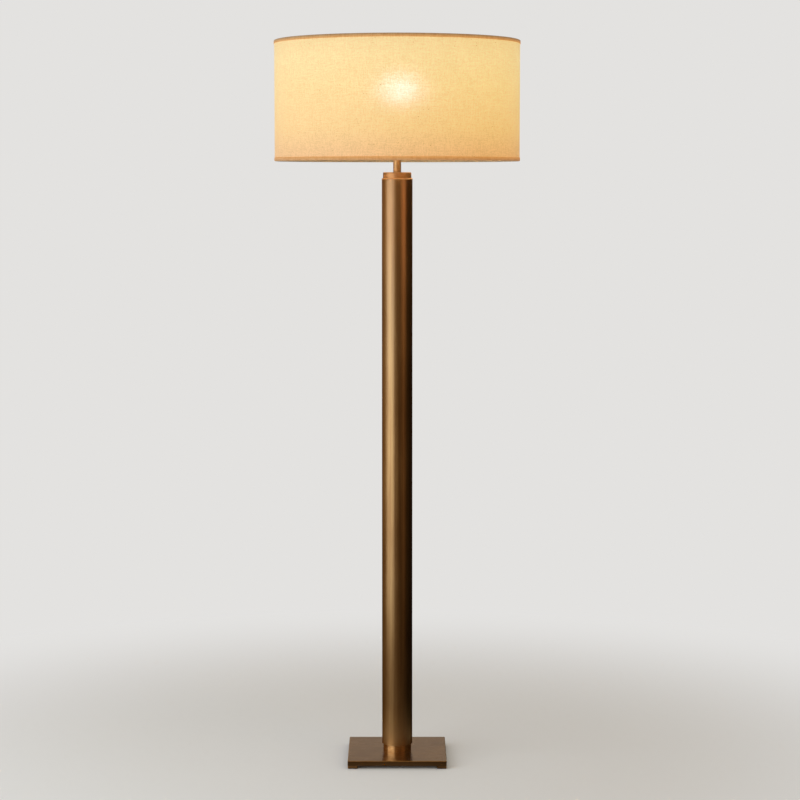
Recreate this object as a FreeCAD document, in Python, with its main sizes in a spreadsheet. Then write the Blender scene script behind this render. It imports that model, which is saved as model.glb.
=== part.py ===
"""Column floor lamp: square base plate on four corner blocks, plain round column between a bottom ring and
a top cap, thin neck, socket with one bulb, harp, and a wide laminated linen drum shade held by a finial.

Millimetres, +Z up. The origin is on the floor under the column's axis, and -Y is the front. Every driving
dimension is a cell of the sheet "Sizes", and each piece is built in its own frame and then placed.
"""

import FreeCAD
import Part
import Sketcher
import math
import os
from types import SimpleNamespace

# ---------------------------------------------------------------------------------------------------
# Driving dimensions, in millimetres
# ---------------------------------------------------------------------------------------------------

SIZES = {
    # felt pads and corner blocks under the plate
    "pad_side": 20.0,
    "pad_thickness": 1.2,
    "block_side": 22.5,
    "block_height": 6.3,
    "block_bevel": 0.5,
    # countersunk screws that hold the blocks
    "block_screw_radius": 2.0,
    "block_screw_length": 12.0,
    "block_screw_head_radius": 3.8,
    "block_screw_head_height": 2.2,
    "block_screw_slot_width": 1.0,
    "block_screw_slot_depth": 0.9,
    "block_screw_hole_spare": 1.5,
    # base plate
    "plate_side": 228.0,
    "plate_thickness": 11.0,
    "plate_bevel": 1.2,
    "plate_corner_bevel": 1.0,
    "nut_recess_radius": 14.0,
    "nut_recess_depth": 6.5,
    # lamp pipe, its nuts, washer and end bushing
    "pipe_radius": 5.0,
    "pipe_bore_radius": 3.5,
    "pipe_below_nut": 0.4,
    "pipe_above_cap_floor": 1.5,
    "nut_corner_radius": 8.1,
    "nut_thickness": 4.0,
    "lock_washer_radius": 9.5,
    "lock_washer_thickness": 1.0,
    "bushing_flange_radius": 6.5,
    "bushing_flange_thickness": 0.9,
    "bushing_bore_radius": 2.85,
    "bushing_sleeve_length": 6.0,
    # bottom ring and top cap: the two turned collars, hollow inside
    "collar_radius": 32.5,
    "collar_wall": 3.5,
    "ring_height": 14.5,
    "ring_web": 4.0,
    "ring_bevel": 0.5,
    "cap_height": 13.5,
    "cap_web": 4.5,
    "cap_top_bend": 2.5,
    # column tube and its plugs
    "column_radius": 35.25,
    "column_wall": 1.5,
    "column_length": 1320.0,
    "column_bevel": 0.8,
    "plug_thickness": 8.0,
    # neck tube and check ring
    "neck_radius": 9.0,
    "neck_wall": 1.2,
    "neck_length": 65.5,
    "neck_recess_depth": 1.5,
    "check_ring_radius": 11.0,
    "check_ring_thickness": 2.0,
    "check_ring_spigot": 3.0,
    # harp saddle: bent strap with two narrow prongs
    "saddle_thickness": 2.0,
    "saddle_web": 2.2,
    "saddle_half_span": 33.4,
    "saddle_shoulder_height": 9.0,
    "saddle_height": 21.0,
    "saddle_bend": 5.0,
    "prong_width": 5.0,
    # ferrules
    "ferrule_bore_radius": 4.1,
    "ferrule_wall": 0.6,
    "ferrule_length": 13.0,
    "ferrule_centre": 30.6,
    # harp wire
    "harp_wire_radius": 1.7,
    "harp_leg_start": 8.0,
    "harp_leg_top": 45.5,
    "harp_belly_half_width": 57.0,
    "harp_belly_low": 97.5,
    "harp_belly_drop": 42.8,
    "harp_shoulder_half_width": 33.0,
    "harp_leg_bend": 40.0,
    "harp_belly_bend": 44.0,
    "harp_shoulder_bend": 35.0,
    "harp_rise": 205.5,
    # crown hub and swivel stud
    "crown_radius": 6.0,
    "crown_height": 9.0,
    "crown_wire_height": 3.8,
    "stud_collar_radius": 7.0,
    "stud_collar_thickness": 2.0,
    "stud_thread_radius": 3.175,
    "stud_thread_length": 12.0,
    "stud_shank_radius": 2.0,
    "stud_shank_length": 2.6,
    # socket
    "socket_neck_radius": 7.2,
    "socket_neck_height": 5.0,
    "socket_flare_height": 9.0,
    "socket_cap_radius": 17.6,
    "socket_cap_height": 20.0,
    "socket_cap_wall": 0.8,
    "socket_neck_bend": 1.5,
    "socket_flare_bend": 3.0,
    "set_screw_radius": 1.5,
    "set_screw_height": 2.5,
    "set_screw_length": 4.5,
    "shell_rise": 12.0,
    "shell_length": 49.5,
    "shell_wall": 0.5,
    "shell_bead_height": 1.5,
    "shell_bead_stand": 0.6,
    "liner_wall": 0.7,
    "liner_setback": 0.5,
    "block_insulator_height": 24.5,
    "screw_shell_wall": 0.4,
    "screw_shell_length": 23.0,
    "screw_shell_lip": 6.0,
    "contact_radius": 3.5,
    "contact_height": 1.6,
    "terminal_notch_depth": 4.0,
    "terminal_notch_width": 9.0,
    "terminal_screw_radius": 1.5,
    "terminal_screw_length": 5.0,
    "terminal_head_radius": 3.0,
    "terminal_head_height": 1.5,
    # turn switch
    "switch_height": 14.0,
    "stem_radius": 2.0,
    "stem_depth": 6.0,
    "stem_reach": 11.0,
    "knob_radius": 6.5,
    "knob_length": 14.0,
    "knob_gap": 1.9,
    "knob_bore_depth": 9.5,
    "knob_bevel": 1.0,
    "knob_flute_radius": 0.9,
    # bulb
    "bulb_contact_radius": 4.8,
    "bulb_contact_height": 1.4,
    "bulb_insulator_radius": 11.0,
    "bulb_insulator_height": 3.0,
    "bulb_screw_radius": 13.1,
    "bulb_screw_wall": 0.4,
    "bulb_screw_shoulder": 2.0,
    "bulb_screw_length": 22.6,
    "bulb_spigot_length": 5.0,
    "bulb_housing_foot_radius": 14.2,
    "bulb_housing_foot_height": 3.0,
    "bulb_housing_length": 31.0,
    "bulb_housing_rim_radius": 27.5,
    "globe_radius": 30.0,
    "globe_waist_height": 14.0,
    "globe_height": 48.0,
    "globe_wall": 1.0,
    "globe_waist_bend": 40.0,
    # shade
    "shade_radius": 280.0,
    "shade_height": 273.5,
    "linen_thickness": 0.7,
    "backing_thickness": 0.4,
    "glue_line": 0.1,
    "trim_thickness": 0.9,
    "trim_height": 9.0,
    "trim_bevel": 2.0,
    "shade_wire_radius": 1.6,
    "rim_setback": 3.0,
    "spider_hub_radius": 12.5,
    "spider_hub_thickness": 2.0,
    "spider_recess": 25.0,
    "spider_arm_radius": 1.5,
    "arm_notch_spare": 0.4,
    # finial
    "finial_foot_radius": 6.5,
    "finial_foot_height": 3.0,
    "finial_waist_radius": 5.2,
    "finial_waist_height": 6.5,
    "finial_knob_radius": 8.0,
    "finial_height": 22.0,
    "finial_bore_depth": 12.5,
    "finial_bevel": 1.0,
    "finial_slope": 1.5,
    # clearances, all on the radius or on one side
    "thread_gap": 0.1,
    "pin_gap": 0.05,
    "hole_gap": 0.3,
    "slip_gap": 0.3,
    "weld_gap": 0.2,
    "trim_gap": 0.2,
}

FULL_TURN = 360
QUARTER_TURN = 90
SPIDER_ARMS = ("rear", "left", "right")
SIDES = {"left": -1, "right": 1}
KNOB_FLUTES = 12
CORNERS = {
    "front_left": (-1, -1),
    "front_right": (1, -1),
    "rear_left": (-1, 1),
    "rear_right": (1, 1),
}
BEVEL_OFFSET = 2 - math.sqrt(2)
TINY = 1e-6


# ---------------------------------------------------------------------------------------------------
# The document, its sheet, and lengths that remember their formula
# ---------------------------------------------------------------------------------------------------


class Size:
    """A length: its formula for the document, and its value in millimetres for drawing."""

    def __init__(self, formula, value):
        self.formula = formula
        self.value = value

    def joined(self, sign, other, value):
        return Size(f"({self.formula} {sign} {as_size(other).formula})", value)

    def __add__(self, other):
        return self.joined("+", other, self.value + as_size(other).value)

    def __sub__(self, other):
        return self.joined("-", other, self.value - as_size(other).value)

    def __mul__(self, other):
        return self.joined("*", other, self.value * as_size(other).value)

    def __truediv__(self, other):
        return self.joined("/", other, self.value / as_size(other).value)

    def __neg__(self):
        return Size(f"(0 - {self.formula})", -self.value)


def as_size(length):
    return length if isinstance(length, Size) else Size(repr(length), length)


def filled_sheet(document):
    """Writes the driving dimensions into a sheet, one row each, and gives them as lengths."""
    sheet = document.addObject("Spreadsheet::Sheet", "Sizes")
    for row, (name, value) in enumerate(SIZES.items(), 1):
        sheet.set(f"A{row}", name)
        sheet.set(f"B{row}", str(value))
        sheet.setAlias(f"B{row}", name)
    document.recompute()
    return SimpleNamespace(**{name: Size(f"Sizes.{name}", value) for name, value in SIZES.items()})


doc = FreeCAD.newDocument("column_floor_lamp")
size = filled_sheet(doc)
parts = {}


# ---------------------------------------------------------------------------------------------------
# Drawing: outlines of straight runs and bends, tied to the sheet
# ---------------------------------------------------------------------------------------------------

ORIGIN, X_AXIS, Y_AXIS = -1, -1, -2
START, END, CENTRE = 1, 2, 3
UPRIGHT = FreeCAD.Vector(0, 0, 1)


def pin_coordinate(sketch, geometry, end, kind, length):
    """Ties one coordinate of a point to the sheet, or the point to an axis where it is zero."""
    if length.value == 0:
        axis = Y_AXIS if kind == "DistanceX" else X_AXIS
        sketch.addConstraint(Sketcher.Constraint("PointOnObject", geometry, end, axis))
        return
    rule = Sketcher.Constraint(kind, ORIGIN, START, geometry, end, length.value)
    number = sketch.addConstraint(rule)
    sketch.setExpression(f"Constraints[{number}]", length.formula)


def pin_point(sketch, geometry, end, across, up):
    pin_coordinate(sketch, geometry, end, "DistanceX", across)
    pin_coordinate(sketch, geometry, end, "DistanceY", up)


def pin_radius(sketch, geometry, radius):
    number = sketch.addConstraint(Sketcher.Constraint("Radius", geometry, radius.value))
    sketch.setExpression(f"Constraints[{number}]", radius.formula)


def read_corner(entry):
    across, up = as_size(entry[0]), as_size(entry[1])
    radius = as_size(entry[2]) if len(entry) > 2 else None
    point = FreeCAD.Vector(across.value, up.value, 0)
    return SimpleNamespace(across=across, up=up, radius=radius, point=point, reach=0.0)


def settle_bend(corner, before, after):
    """Works out where a corner's bend starts, ends and has its centre."""
    arriving = (corner.point - before.point).normalize()
    leaving = (after.point - corner.point).normalize()
    half_turn = arriving.getAngle(leaving) / 2
    inward = (leaving - arriving).normalize()
    corner.reach = corner.radius.value * math.tan(half_turn)
    corner.centre = corner.point + inward * (corner.radius.value / math.cos(half_turn))
    corner.enters = corner.point - arriving * corner.reach
    corner.leaves = corner.point + leaving * corner.reach
    corner.turns_left = arriving.cross(leaving).z > 0


def draw_bend(sketch, corner, sharp):
    """Draws a corner's bend, with a mark on the corner that it rounds off."""
    circle = Part.Circle(corner.centre, UPRIGHT, corner.radius.value)
    ends = (corner.enters, corner.leaves) if corner.turns_left else (corner.leaves, corner.enters)
    arc = Part.ArcOfCircle(circle, circle.parameter(ends[0]), circle.parameter(ends[1]))
    geometry = sketch.addGeometry(arc, False)
    pin_radius(sketch, geometry, corner.radius)
    mark = sketch.addGeometry(Part.Point(corner.point), True)
    pin_point(sketch, mark, START, corner.across, corner.up)
    enters, leaves = (START, END) if corner.turns_left else (END, START)
    return SimpleNamespace(geometry=geometry, enters=enters, leaves=leaves, sharp=sharp, mark=mark)


def draw_run(sketch, first, last, sharp):
    """Draws the straight run between two corners, or nothing where a bend takes all of it."""
    run = last.point - first.point
    if run.Length - first.reach - last.reach < TINY:
        return None
    along = FreeCAD.Vector(run).normalize()
    line = Part.LineSegment(first.point + along * first.reach, last.point - along * last.reach)
    geometry = sketch.addGeometry(line, False)
    return SimpleNamespace(geometry=geometry, enters=START, leaves=END, sharp=sharp, mark=None)


def join(sketch, first, last):
    """Joins two drawn pieces: with a pinned point at a sharp corner, smoothly at a bend."""
    ends = (first.geometry, first.leaves, last.geometry, last.enters)
    if last.sharp is not None:
        sketch.addConstraint(Sketcher.Constraint("Coincident", *ends))
        pin_point(sketch, last.geometry, last.enters, last.sharp.across, last.sharp.up)
        return
    sketch.addConstraint(Sketcher.Constraint("Tangent", *ends))
    bend, run = (first, last) if last.mark is None else (last, first)
    sketch.addConstraint(Sketcher.Constraint("PointOnObject", bend.mark, START, run.geometry))


def draw_outline(sketch, entries, closed=True):
    """Draws an outline through corners given as (across, up) or (across, up, bend radius).

    The first corner is a sharp one, and so is the last corner of an open outline.
    """
    corners = [read_corner(entry) for entry in entries]
    following = corners[1:] + corners[:1]
    for before, corner, after in zip(corners[-1:] + corners[:-1], corners, following):
        if corner.radius is not None:
            settle_bend(corner, before, after)
    pieces = []
    sharp = None
    for corner, after in zip(corners, following):
        if corner.radius is None:
            sharp = corner
        else:
            pieces.append(draw_bend(sketch, corner, sharp))
            sharp = None
        run = draw_run(sketch, corner, after, sharp) if closed or after is not corners[0] else None
        if run is not None:
            pieces.append(run)
            sharp = None
    for first, last in zip(pieces, pieces[1:]):
        join(sketch, first, last)
    if closed:
        join(sketch, pieces[-1], pieces[0])
    else:
        pin_point(sketch, pieces[0].geometry, pieces[0].enters, corners[0].across, corners[0].up)
        pin_point(sketch, pieces[-1].geometry, pieces[-1].leaves, corners[-1].across, corners[-1].up)


def draw_circle(sketch, radius, across=0, up=0):
    across, up = as_size(across), as_size(up)
    centre = FreeCAD.Vector(across.value, up.value, 0)
    geometry = sketch.addGeometry(Part.Circle(centre, UPRIGHT, radius.value), False)
    pin_radius(sketch, geometry, radius)
    pin_point(sketch, geometry, CENTRE, across, up)


def draw_rectangle(sketch, left, right, low, high):
    draw_outline(sketch, [(left, low), (right, low), (right, high), (left, high)])


# ---------------------------------------------------------------------------------------------------
# Making: bodies and their features
# ---------------------------------------------------------------------------------------------------


def new_body(label):
    body = doc.addObject("PartDesign::Body", label)
    body.Label = label
    return body


def origin_feature(body, role):
    return next(feature for feature in body.Origin.OriginFeatures if feature.Role == role)


def sketch_on(body, plane, name, offset=None):
    """A sketch on one of the body's own origin planes, or level with it at an offset."""
    sketch = body.newObject("Sketcher::SketchObject", f"{body.Label}_{name}")
    sketch.AttachmentSupport = [(origin_feature(body, plane), "")]
    sketch.MapMode = "FlatFace"
    if offset is not None:
        sketch.setExpression("AttachmentOffset.Base.z", as_size(offset).formula)
    return sketch


def revolve(body, sketch, kind):
    """Turns a half section about the upright axis."""
    feature = body.newObject(kind, f"{sketch.Label}_turned")
    feature.Profile = sketch
    feature.ReferenceAxis = (sketch, ["V_Axis"])
    feature.Angle = FULL_TURN
    doc.recompute()


def turn(body, sketch):
    revolve(body, sketch, "PartDesign::Revolution")


def turn_away(body, sketch):
    before = body.Shape.Volume
    revolve(body, sketch, "PartDesign::Groove")
    expect_less(body, before)


def pad(body, sketch, length, both_ways=False):
    feature = body.newObject("PartDesign::Pad", f"{sketch.Label}_pad")
    feature.Profile = sketch
    feature.setExpression("Length", as_size(length).formula)
    if both_ways:
        feature.SideType = "Symmetric"
    doc.recompute()
    return feature


def cut(body, sketch, depth=None, along_normal=False):
    """Cuts a sketch into the body: through it both ways, or to a depth against or along its normal."""
    before = body.Shape.Volume
    feature = body.newObject("PartDesign::Pocket", f"{sketch.Label}_cut")
    feature.Profile = sketch
    if depth is None:
        feature.Type = "ThroughAll"
        feature.SideType = "Symmetric"
    else:
        feature.setExpression("Length", as_size(depth).formula)
        feature.Reversed = along_normal
    doc.recompute()
    expect_less(body, before)
    return feature


def expect_less(body, before):
    if body.Shape.Volume > before - TINY:
        raise ValueError(f"a cut in {body.Label} removes nothing")


def repeat_round(body, feature, count):
    """Repeats a feature evenly about the body's upright axis."""
    before = body.Shape.Volume
    pattern = body.newObject("PartDesign::PolarPattern", f"{feature.Label}_repeated")
    pattern.Originals = [feature]
    pattern.Axis = (origin_feature(body, "Z_Axis"), [""])
    pattern.Angle = FULL_TURN
    pattern.Occurrences = count
    body.Tip = pattern
    doc.recompute()
    expect_less(body, before)


def bevel(body, width, chosen):
    """Bevels those edges of the body that the test picks."""
    base = body.Tip
    names = [f"Edge{number}" for number, edge in enumerate(base.Shape.Edges, 1) if chosen(edge)]
    feature = body.newObject("PartDesign::Chamfer", f"{body.Label}_bevel_{len(body.Group)}")
    feature.Base = (base, names)
    feature.setExpression("Size", width.formula)
    doc.recompute()


def level_at(height):
    """A test for edges that lie level at a height of the body's own frame."""
    return lambda edge: all(abs(corner.Z - height) < TINY for corner in edge.Vertexes)


def stands_upright(edge):
    low, high = edge.Vertexes[0].Point, edge.Vertexes[-1].Point
    return abs(low.x - high.x) + abs(low.y - high.y) < TINY and abs(low.z - high.z) > TINY


def turned(label, *outline):
    """A round piece, turned from its half section."""
    body = new_body(label)
    sketch = sketch_on(body, "XZ_Plane", "section")
    draw_outline(sketch, outline)
    turn(body, sketch)
    return body


def bent_rod(label, radius, route, start_plane, start_offset, across, up):
    """A round rod swept along a route in the XZ plane, from a circle on the plane that the route leaves."""
    body = new_body(label)
    path = sketch_on(body, "XZ_Plane", "route")
    draw_outline(path, route, closed=False)
    circle = sketch_on(body, start_plane, "circle", start_offset)
    draw_circle(circle, radius, across, up)
    doc.recompute()
    feature = body.newObject("PartDesign::AdditivePipe", f"{label}_sweep")
    feature.Profile = circle
    feature.Spine = (path, [f"Edge{number}" for number in range(1, len(path.Shape.Edges) + 1)])
    doc.recompute()
    return body


def hex_nut(label):
    """A hexagon nut for the lamp pipe, its thread left as a plain bore."""
    hexagon = doc.addObject("Part::Prism", f"{label}_hexagon")
    hexagon.Polygon = 6
    hexagon.setExpression("Circumradius", size.nut_corner_radius.formula)
    hexagon.setExpression("Height", size.nut_thickness.formula)
    bore = doc.addObject("Part::Cylinder", f"{label}_bore")
    bore.setExpression("Radius", pipe_thread_hole.formula)
    bore.setExpression("Height", size.nut_thickness.formula)
    nut = doc.addObject("Part::Cut", label)
    nut.Base = hexagon
    nut.Tool = bore
    return nut


def place(part, across=0, deep=0, up=0, rotation=None):
    """Puts a piece at its place in the lamp, tied to the sheet."""
    part.Placement = FreeCAD.Placement(FreeCAD.Vector(), rotation or FreeCAD.Rotation())
    for name, length in (("x", across), ("y", deep), ("z", up)):
        part.setExpression(f"Placement.Base.{name}", as_size(length).formula)
    return part


def keep(part):
    """Takes a placed piece into the lamp, under the name of its file."""
    part.Label = part.Name
    parts[part.Label] = part


def keep_group(label, members):
    """Takes like pieces into the lamp as one group of separate solids."""
    group = doc.addObject("Part::Compound", label)
    group.Links = members
    keep(group)


# ---------------------------------------------------------------------------------------------------
# Levels and radii that several pieces share
# ---------------------------------------------------------------------------------------------------

pipe_thread_hole = size.pipe_radius + size.thread_gap
plate_bottom = size.pad_thickness + size.block_height
plate_top = plate_bottom + size.plate_thickness
block_centre = size.plate_side / 2 - size.block_side / 2
nut_top = plate_bottom + size.nut_recess_depth - size.lock_washer_thickness
nut_bottom = nut_top - size.nut_thickness
pipe_bottom = nut_bottom - size.pipe_below_nut
column_bottom = plate_top + size.ring_height
column_top = column_bottom + size.column_length
tube_bore = size.column_radius - size.column_wall
cap_top = column_top + size.cap_height
neck_bottom = cap_top - size.neck_recess_depth
neck_bore = size.neck_radius - size.neck_wall
neck_top = neck_bottom + size.neck_length
saddle_bottom = neck_top + size.check_ring_thickness
saddle_nut_bottom = saddle_bottom + size.saddle_thickness
socket_bottom = saddle_nut_bottom + size.nut_thickness
socket_floor = size.socket_neck_height + size.socket_cap_wall
pipe_top = socket_bottom + socket_floor + size.pipe_above_cap_floor
shell_bottom = socket_bottom + size.shell_rise
shell_radius = size.socket_cap_radius - size.socket_cap_wall - size.weld_gap
liner_radius = shell_radius - size.shell_wall - size.weld_gap
insulator_radius = liner_radius - size.liner_wall - size.weld_gap
insulator_top = shell_bottom + size.block_insulator_height
switch_level = shell_bottom + size.switch_height
bulb_bottom = insulator_top + size.contact_height + size.slip_gap
shade_seat = saddle_bottom + size.harp_rise
crown_top = shade_seat - size.stud_collar_thickness
spider_hub_top = shade_seat + size.spider_hub_thickness
shade_top = spider_hub_top + size.spider_recess
shade_bottom = shade_top - size.shade_height
linen_bottom = shade_bottom + size.rim_setback
linen_height = size.shade_height - size.rim_setback * 2
backing_radius = size.shade_radius - size.linen_thickness - size.glue_line
shade_wire_centre = backing_radius - size.backing_thickness - size.trim_gap - size.shade_wire_radius
shade_wire_inside = shade_wire_centre - size.shade_wire_radius
trim_radius = size.shade_radius + size.trim_gap + size.trim_thickness
trim_inside = shade_wire_inside - size.trim_gap - size.trim_thickness
inner_bevel = size.trim_bevel - size.trim_thickness * BEVEL_OFFSET
shade_wire_drop = size.trim_thickness + size.shade_wire_radius + size.trim_gap * 3


# ---------------------------------------------------------------------------------------------------
# Base: pads, corner blocks with their screws, and the plate
# ---------------------------------------------------------------------------------------------------


def floor_pad(corner, side, front):
    """A square of felt, glued into place under a corner block."""
    felt = doc.addObject("Part::Box", f"floor_pad_{corner}")
    felt.setExpression("Length", size.pad_side.formula)
    felt.setExpression("Width", size.pad_side.formula)
    felt.setExpression("Height", size.pad_thickness.formula)
    half = size.pad_side / 2
    keep(place(felt, block_centre * side - half, block_centre * front - half))


def square_on(sketch, side):
    draw_rectangle(sketch, -side / 2, side / 2, -side / 2, side / 2)


def corner_block(corner, side, front):
    """A small square block, flush with a corner of the plate, countersunk from below for its screw."""
    body = new_body(f"corner_block_{corner}")
    sketch = sketch_on(body, "XY_Plane", "square")
    square_on(sketch, size.block_side)
    pad(body, sketch, size.block_height)
    bevel(body, size.block_bevel, stands_upright)
    bevel(body, size.block_bevel, level_at(0))
    hole = sketch_on(body, "XZ_Plane", "countersink")
    head = size.block_screw_head_radius + size.slip_gap
    shank = size.block_screw_radius + size.slip_gap
    throat = size.block_screw_head_height
    top = size.block_height
    draw_outline(hole, [(0, 0), (head, 0), (shank, throat), (shank, top), (0, top)])
    turn_away(body, hole)
    keep(place(body, block_centre * side, block_centre * front, size.pad_thickness))


def block_screw(corner, side, front):
    """A slotted countersunk screw, up through the block into the plate."""
    screw = turned(
        f"block_screw_{corner}",
        (0, 0),
        (size.block_screw_head_radius, 0),
        (size.block_screw_radius, size.block_screw_head_height),
        (size.block_screw_radius, size.block_screw_length),
        (0, size.block_screw_length),
    )
    slot = sketch_on(screw, "XY_Plane", "slot")
    half_width = size.block_screw_slot_width / 2
    reach = size.block_screw_head_radius + size.slip_gap
    draw_rectangle(slot, -half_width, half_width, -reach, reach)
    cut(screw, slot, size.block_screw_slot_depth, along_normal=True)
    return place(screw, block_centre * side, block_centre * front, size.pad_thickness)


def base_plate():
    """A solid square plate with a fine bevel, recessed below for the nut, with blind holes for the blocks."""
    body = new_body("base_plate")
    square = sketch_on(body, "XY_Plane", "square")
    square_on(square, size.plate_side)
    pad(body, square, size.plate_thickness)
    bevel(body, size.plate_corner_bevel, stands_upright)
    bevel(body, size.plate_bevel, level_at(size.plate_thickness.value))
    pipe_hole = sketch_on(body, "XY_Plane", "pipe_hole")
    draw_circle(pipe_hole, size.pipe_radius + size.hole_gap)
    cut(body, pipe_hole)
    recess = sketch_on(body, "XY_Plane", "nut_recess")
    draw_circle(recess, size.nut_recess_radius)
    cut(body, recess, size.nut_recess_depth, along_normal=True)
    screw_hole = sketch_on(body, "XY_Plane", "screw_hole")
    draw_circle(screw_hole, size.block_screw_radius + size.thread_gap, block_centre, block_centre)
    into_plate = size.block_screw_length - size.block_height + size.block_screw_hole_spare
    hole = cut(body, screw_hole, into_plate, along_normal=True)
    repeat_round(body, hole, len(CORNERS))
    keep(place(body, up=plate_bottom))


# ---------------------------------------------------------------------------------------------------
# Column: the pipe that ties it together, collars, tube, plugs and neck
# ---------------------------------------------------------------------------------------------------


def ring_between(label, bore, radius, thickness, up):
    """A plain flat ring."""
    ring = turned(label, (bore, 0), (radius, 0), (radius, thickness), (bore, thickness))
    keep(place(ring, up=up))


def lamp_pipe():
    """The threaded pipe from under the plate up into the socket, which carries the flex inside."""
    length = pipe_top - pipe_bottom
    ring_between("lamp_pipe", size.pipe_bore_radius, size.pipe_radius, length, pipe_bottom)


def pipe_end_bushing():
    """The plastic bushing in the pipe's lower end, where the flex enters."""
    sleeve = size.pipe_bore_radius - size.thread_gap
    flange = size.bushing_flange_thickness
    height = flange + size.bushing_sleeve_length
    bushing = turned(
        "pipe_end_bushing",
        (size.bushing_bore_radius, 0),
        (size.bushing_flange_radius, 0),
        (size.bushing_flange_radius, flange),
        (sleeve, flange),
        (sleeve, height),
        (size.bushing_bore_radius, height),
    )
    keep(place(bushing, up=pipe_bottom - flange))


def collar_outline(height, web):
    """The inside of a collar: a cup, open below, whose web has the hole for the pipe."""
    inside = size.collar_radius - size.collar_wall
    return [(pipe_thread_hole, height - web), (inside, height - web), (inside, 0), (size.collar_radius, 0)]


def base_ring():
    """The turned ring that lifts the column off the plate."""
    top, edge = size.ring_height, size.ring_bevel
    ring = turned(
        "base_ring",
        *collar_outline(top, size.ring_web),
        (size.collar_radius, top - edge),
        (size.collar_radius - edge, top),
        (pipe_thread_hole, top),
    )
    keep(place(ring, up=plate_top))


def top_cap():
    """The turned cap on the column, rounded at its top edge and recessed for the neck tube."""
    top = size.cap_height
    recess = size.neck_radius + size.thread_gap
    floor = top - size.neck_recess_depth
    cap = turned(
        "top_cap",
        *collar_outline(top, size.cap_web),
        (size.collar_radius, top, size.cap_top_bend),
        (recess, top),
        (recess, floor),
        (pipe_thread_hole, floor),
    )
    keep(place(cap, up=column_top))


def column_tube():
    """The column itself: a long seamless tube with a small bevel at both ends."""
    length, edge = size.column_length, size.column_bevel
    tube = turned(
        "column_tube",
        (tube_bore, 0),
        (size.column_radius - edge, 0),
        (size.column_radius, edge),
        (size.column_radius, length - edge),
        (size.column_radius - edge, length),
        (tube_bore, length),
    )
    keep(place(tube, up=column_bottom))


def column_plugs():
    """The two discs soldered flush into the tube's ends, which centre it on the pipe."""
    radius, thickness = tube_bore - size.thread_gap, size.plug_thickness
    ring_between("lower_plug", pipe_thread_hole, radius, thickness, column_bottom)
    ring_between("upper_plug", pipe_thread_hole, radius, thickness, column_top - thickness)


def neck_tube():
    """The thin tube round the pipe between the cap and the check ring."""
    ring_between("neck_tube", neck_bore, size.neck_radius, size.neck_length, neck_bottom)


def neck_check_ring():
    """The stepped washer that closes the neck tube and carries the harp saddle."""
    spigot = neck_bore - size.thread_gap
    step = size.check_ring_spigot
    height = step + size.check_ring_thickness
    ring = turned(
        "neck_check_ring",
        (pipe_thread_hole, 0),
        (spigot, 0),
        (spigot, step),
        (size.check_ring_radius, step),
        (size.check_ring_radius, height),
        (pipe_thread_hole, height),
    )
    keep(place(ring, up=neck_top - step))


# ---------------------------------------------------------------------------------------------------
# Harp: saddle, ferrules, wire, crown hub and swivel stud
# ---------------------------------------------------------------------------------------------------


def harp_saddle():
    """The bent strap on the neck, whose narrow prongs hold the harp's legs."""
    body = new_body("harp_saddle")
    outer = size.saddle_half_span
    inner = outer - size.saddle_thickness
    floor, bend = size.saddle_thickness, size.saddle_bend
    inner_bend = bend - size.saddle_thickness
    hole_radius = size.pipe_radius + size.hole_gap
    strap_width = (hole_radius + size.saddle_web) * 2
    for name, top, width in (
        ("strap", size.saddle_shoulder_height, strap_width),
        ("prongs", size.saddle_height, size.prong_width),
    ):
        profile = sketch_on(body, "XZ_Plane", name)
        draw_outline(
            profile,
            [
                (-outer, top),
                (-outer, 0, bend),
                (outer, 0, bend),
                (outer, top),
                (inner, top),
                (inner, floor, inner_bend),
                (-inner, floor, inner_bend),
                (-inner, top),
            ],
        )
        pad(body, profile, width, both_ways=True)
    hole = sketch_on(body, "XY_Plane", "pipe_hole")
    draw_circle(hole, hole_radius)
    cut(body, hole)
    keep(place(body, up=saddle_bottom))


def harp_ferrule(name, side):
    """The sleeve that slides down over a harp leg and its prong."""
    bore = size.ferrule_bore_radius
    radius = bore + size.ferrule_wall
    length = size.ferrule_length
    ferrule = turned(f"harp_ferrule_{name}", (bore, 0), (radius, 0), (radius, length), (bore, length))
    keep(place(ferrule, size.ferrule_centre * side, 0, saddle_bottom + size.saddle_shoulder_height))


def harp():
    """The harp: one wire from leg to leg, widest round the bulb."""
    leg = size.saddle_half_span - size.saddle_thickness - size.weld_gap - size.harp_wire_radius
    belly, shoulder = size.harp_belly_half_width, size.harp_shoulder_half_width
    crown = size.harp_rise - size.stud_collar_thickness - size.crown_height + size.crown_wire_height
    belly_high, belly_bend = crown - size.harp_belly_drop, size.harp_belly_bend
    route = [
        (-leg, size.harp_leg_start),
        (-leg, size.harp_leg_top, size.harp_leg_bend),
        (-belly, size.harp_belly_low, belly_bend),
        (-belly, belly_high, belly_bend),
        (-shoulder, crown, size.harp_shoulder_bend),
        (shoulder, crown, size.harp_shoulder_bend),
        (belly, belly_high, belly_bend),
        (belly, size.harp_belly_low, belly_bend),
        (leg, size.harp_leg_top, size.harp_leg_bend),
        (leg, size.harp_leg_start),
    ]
    wire = bent_rod("harp", size.harp_wire_radius, route, "XY_Plane", size.harp_leg_start, -leg, 0)
    keep(place(wire, up=saddle_bottom))


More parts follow.
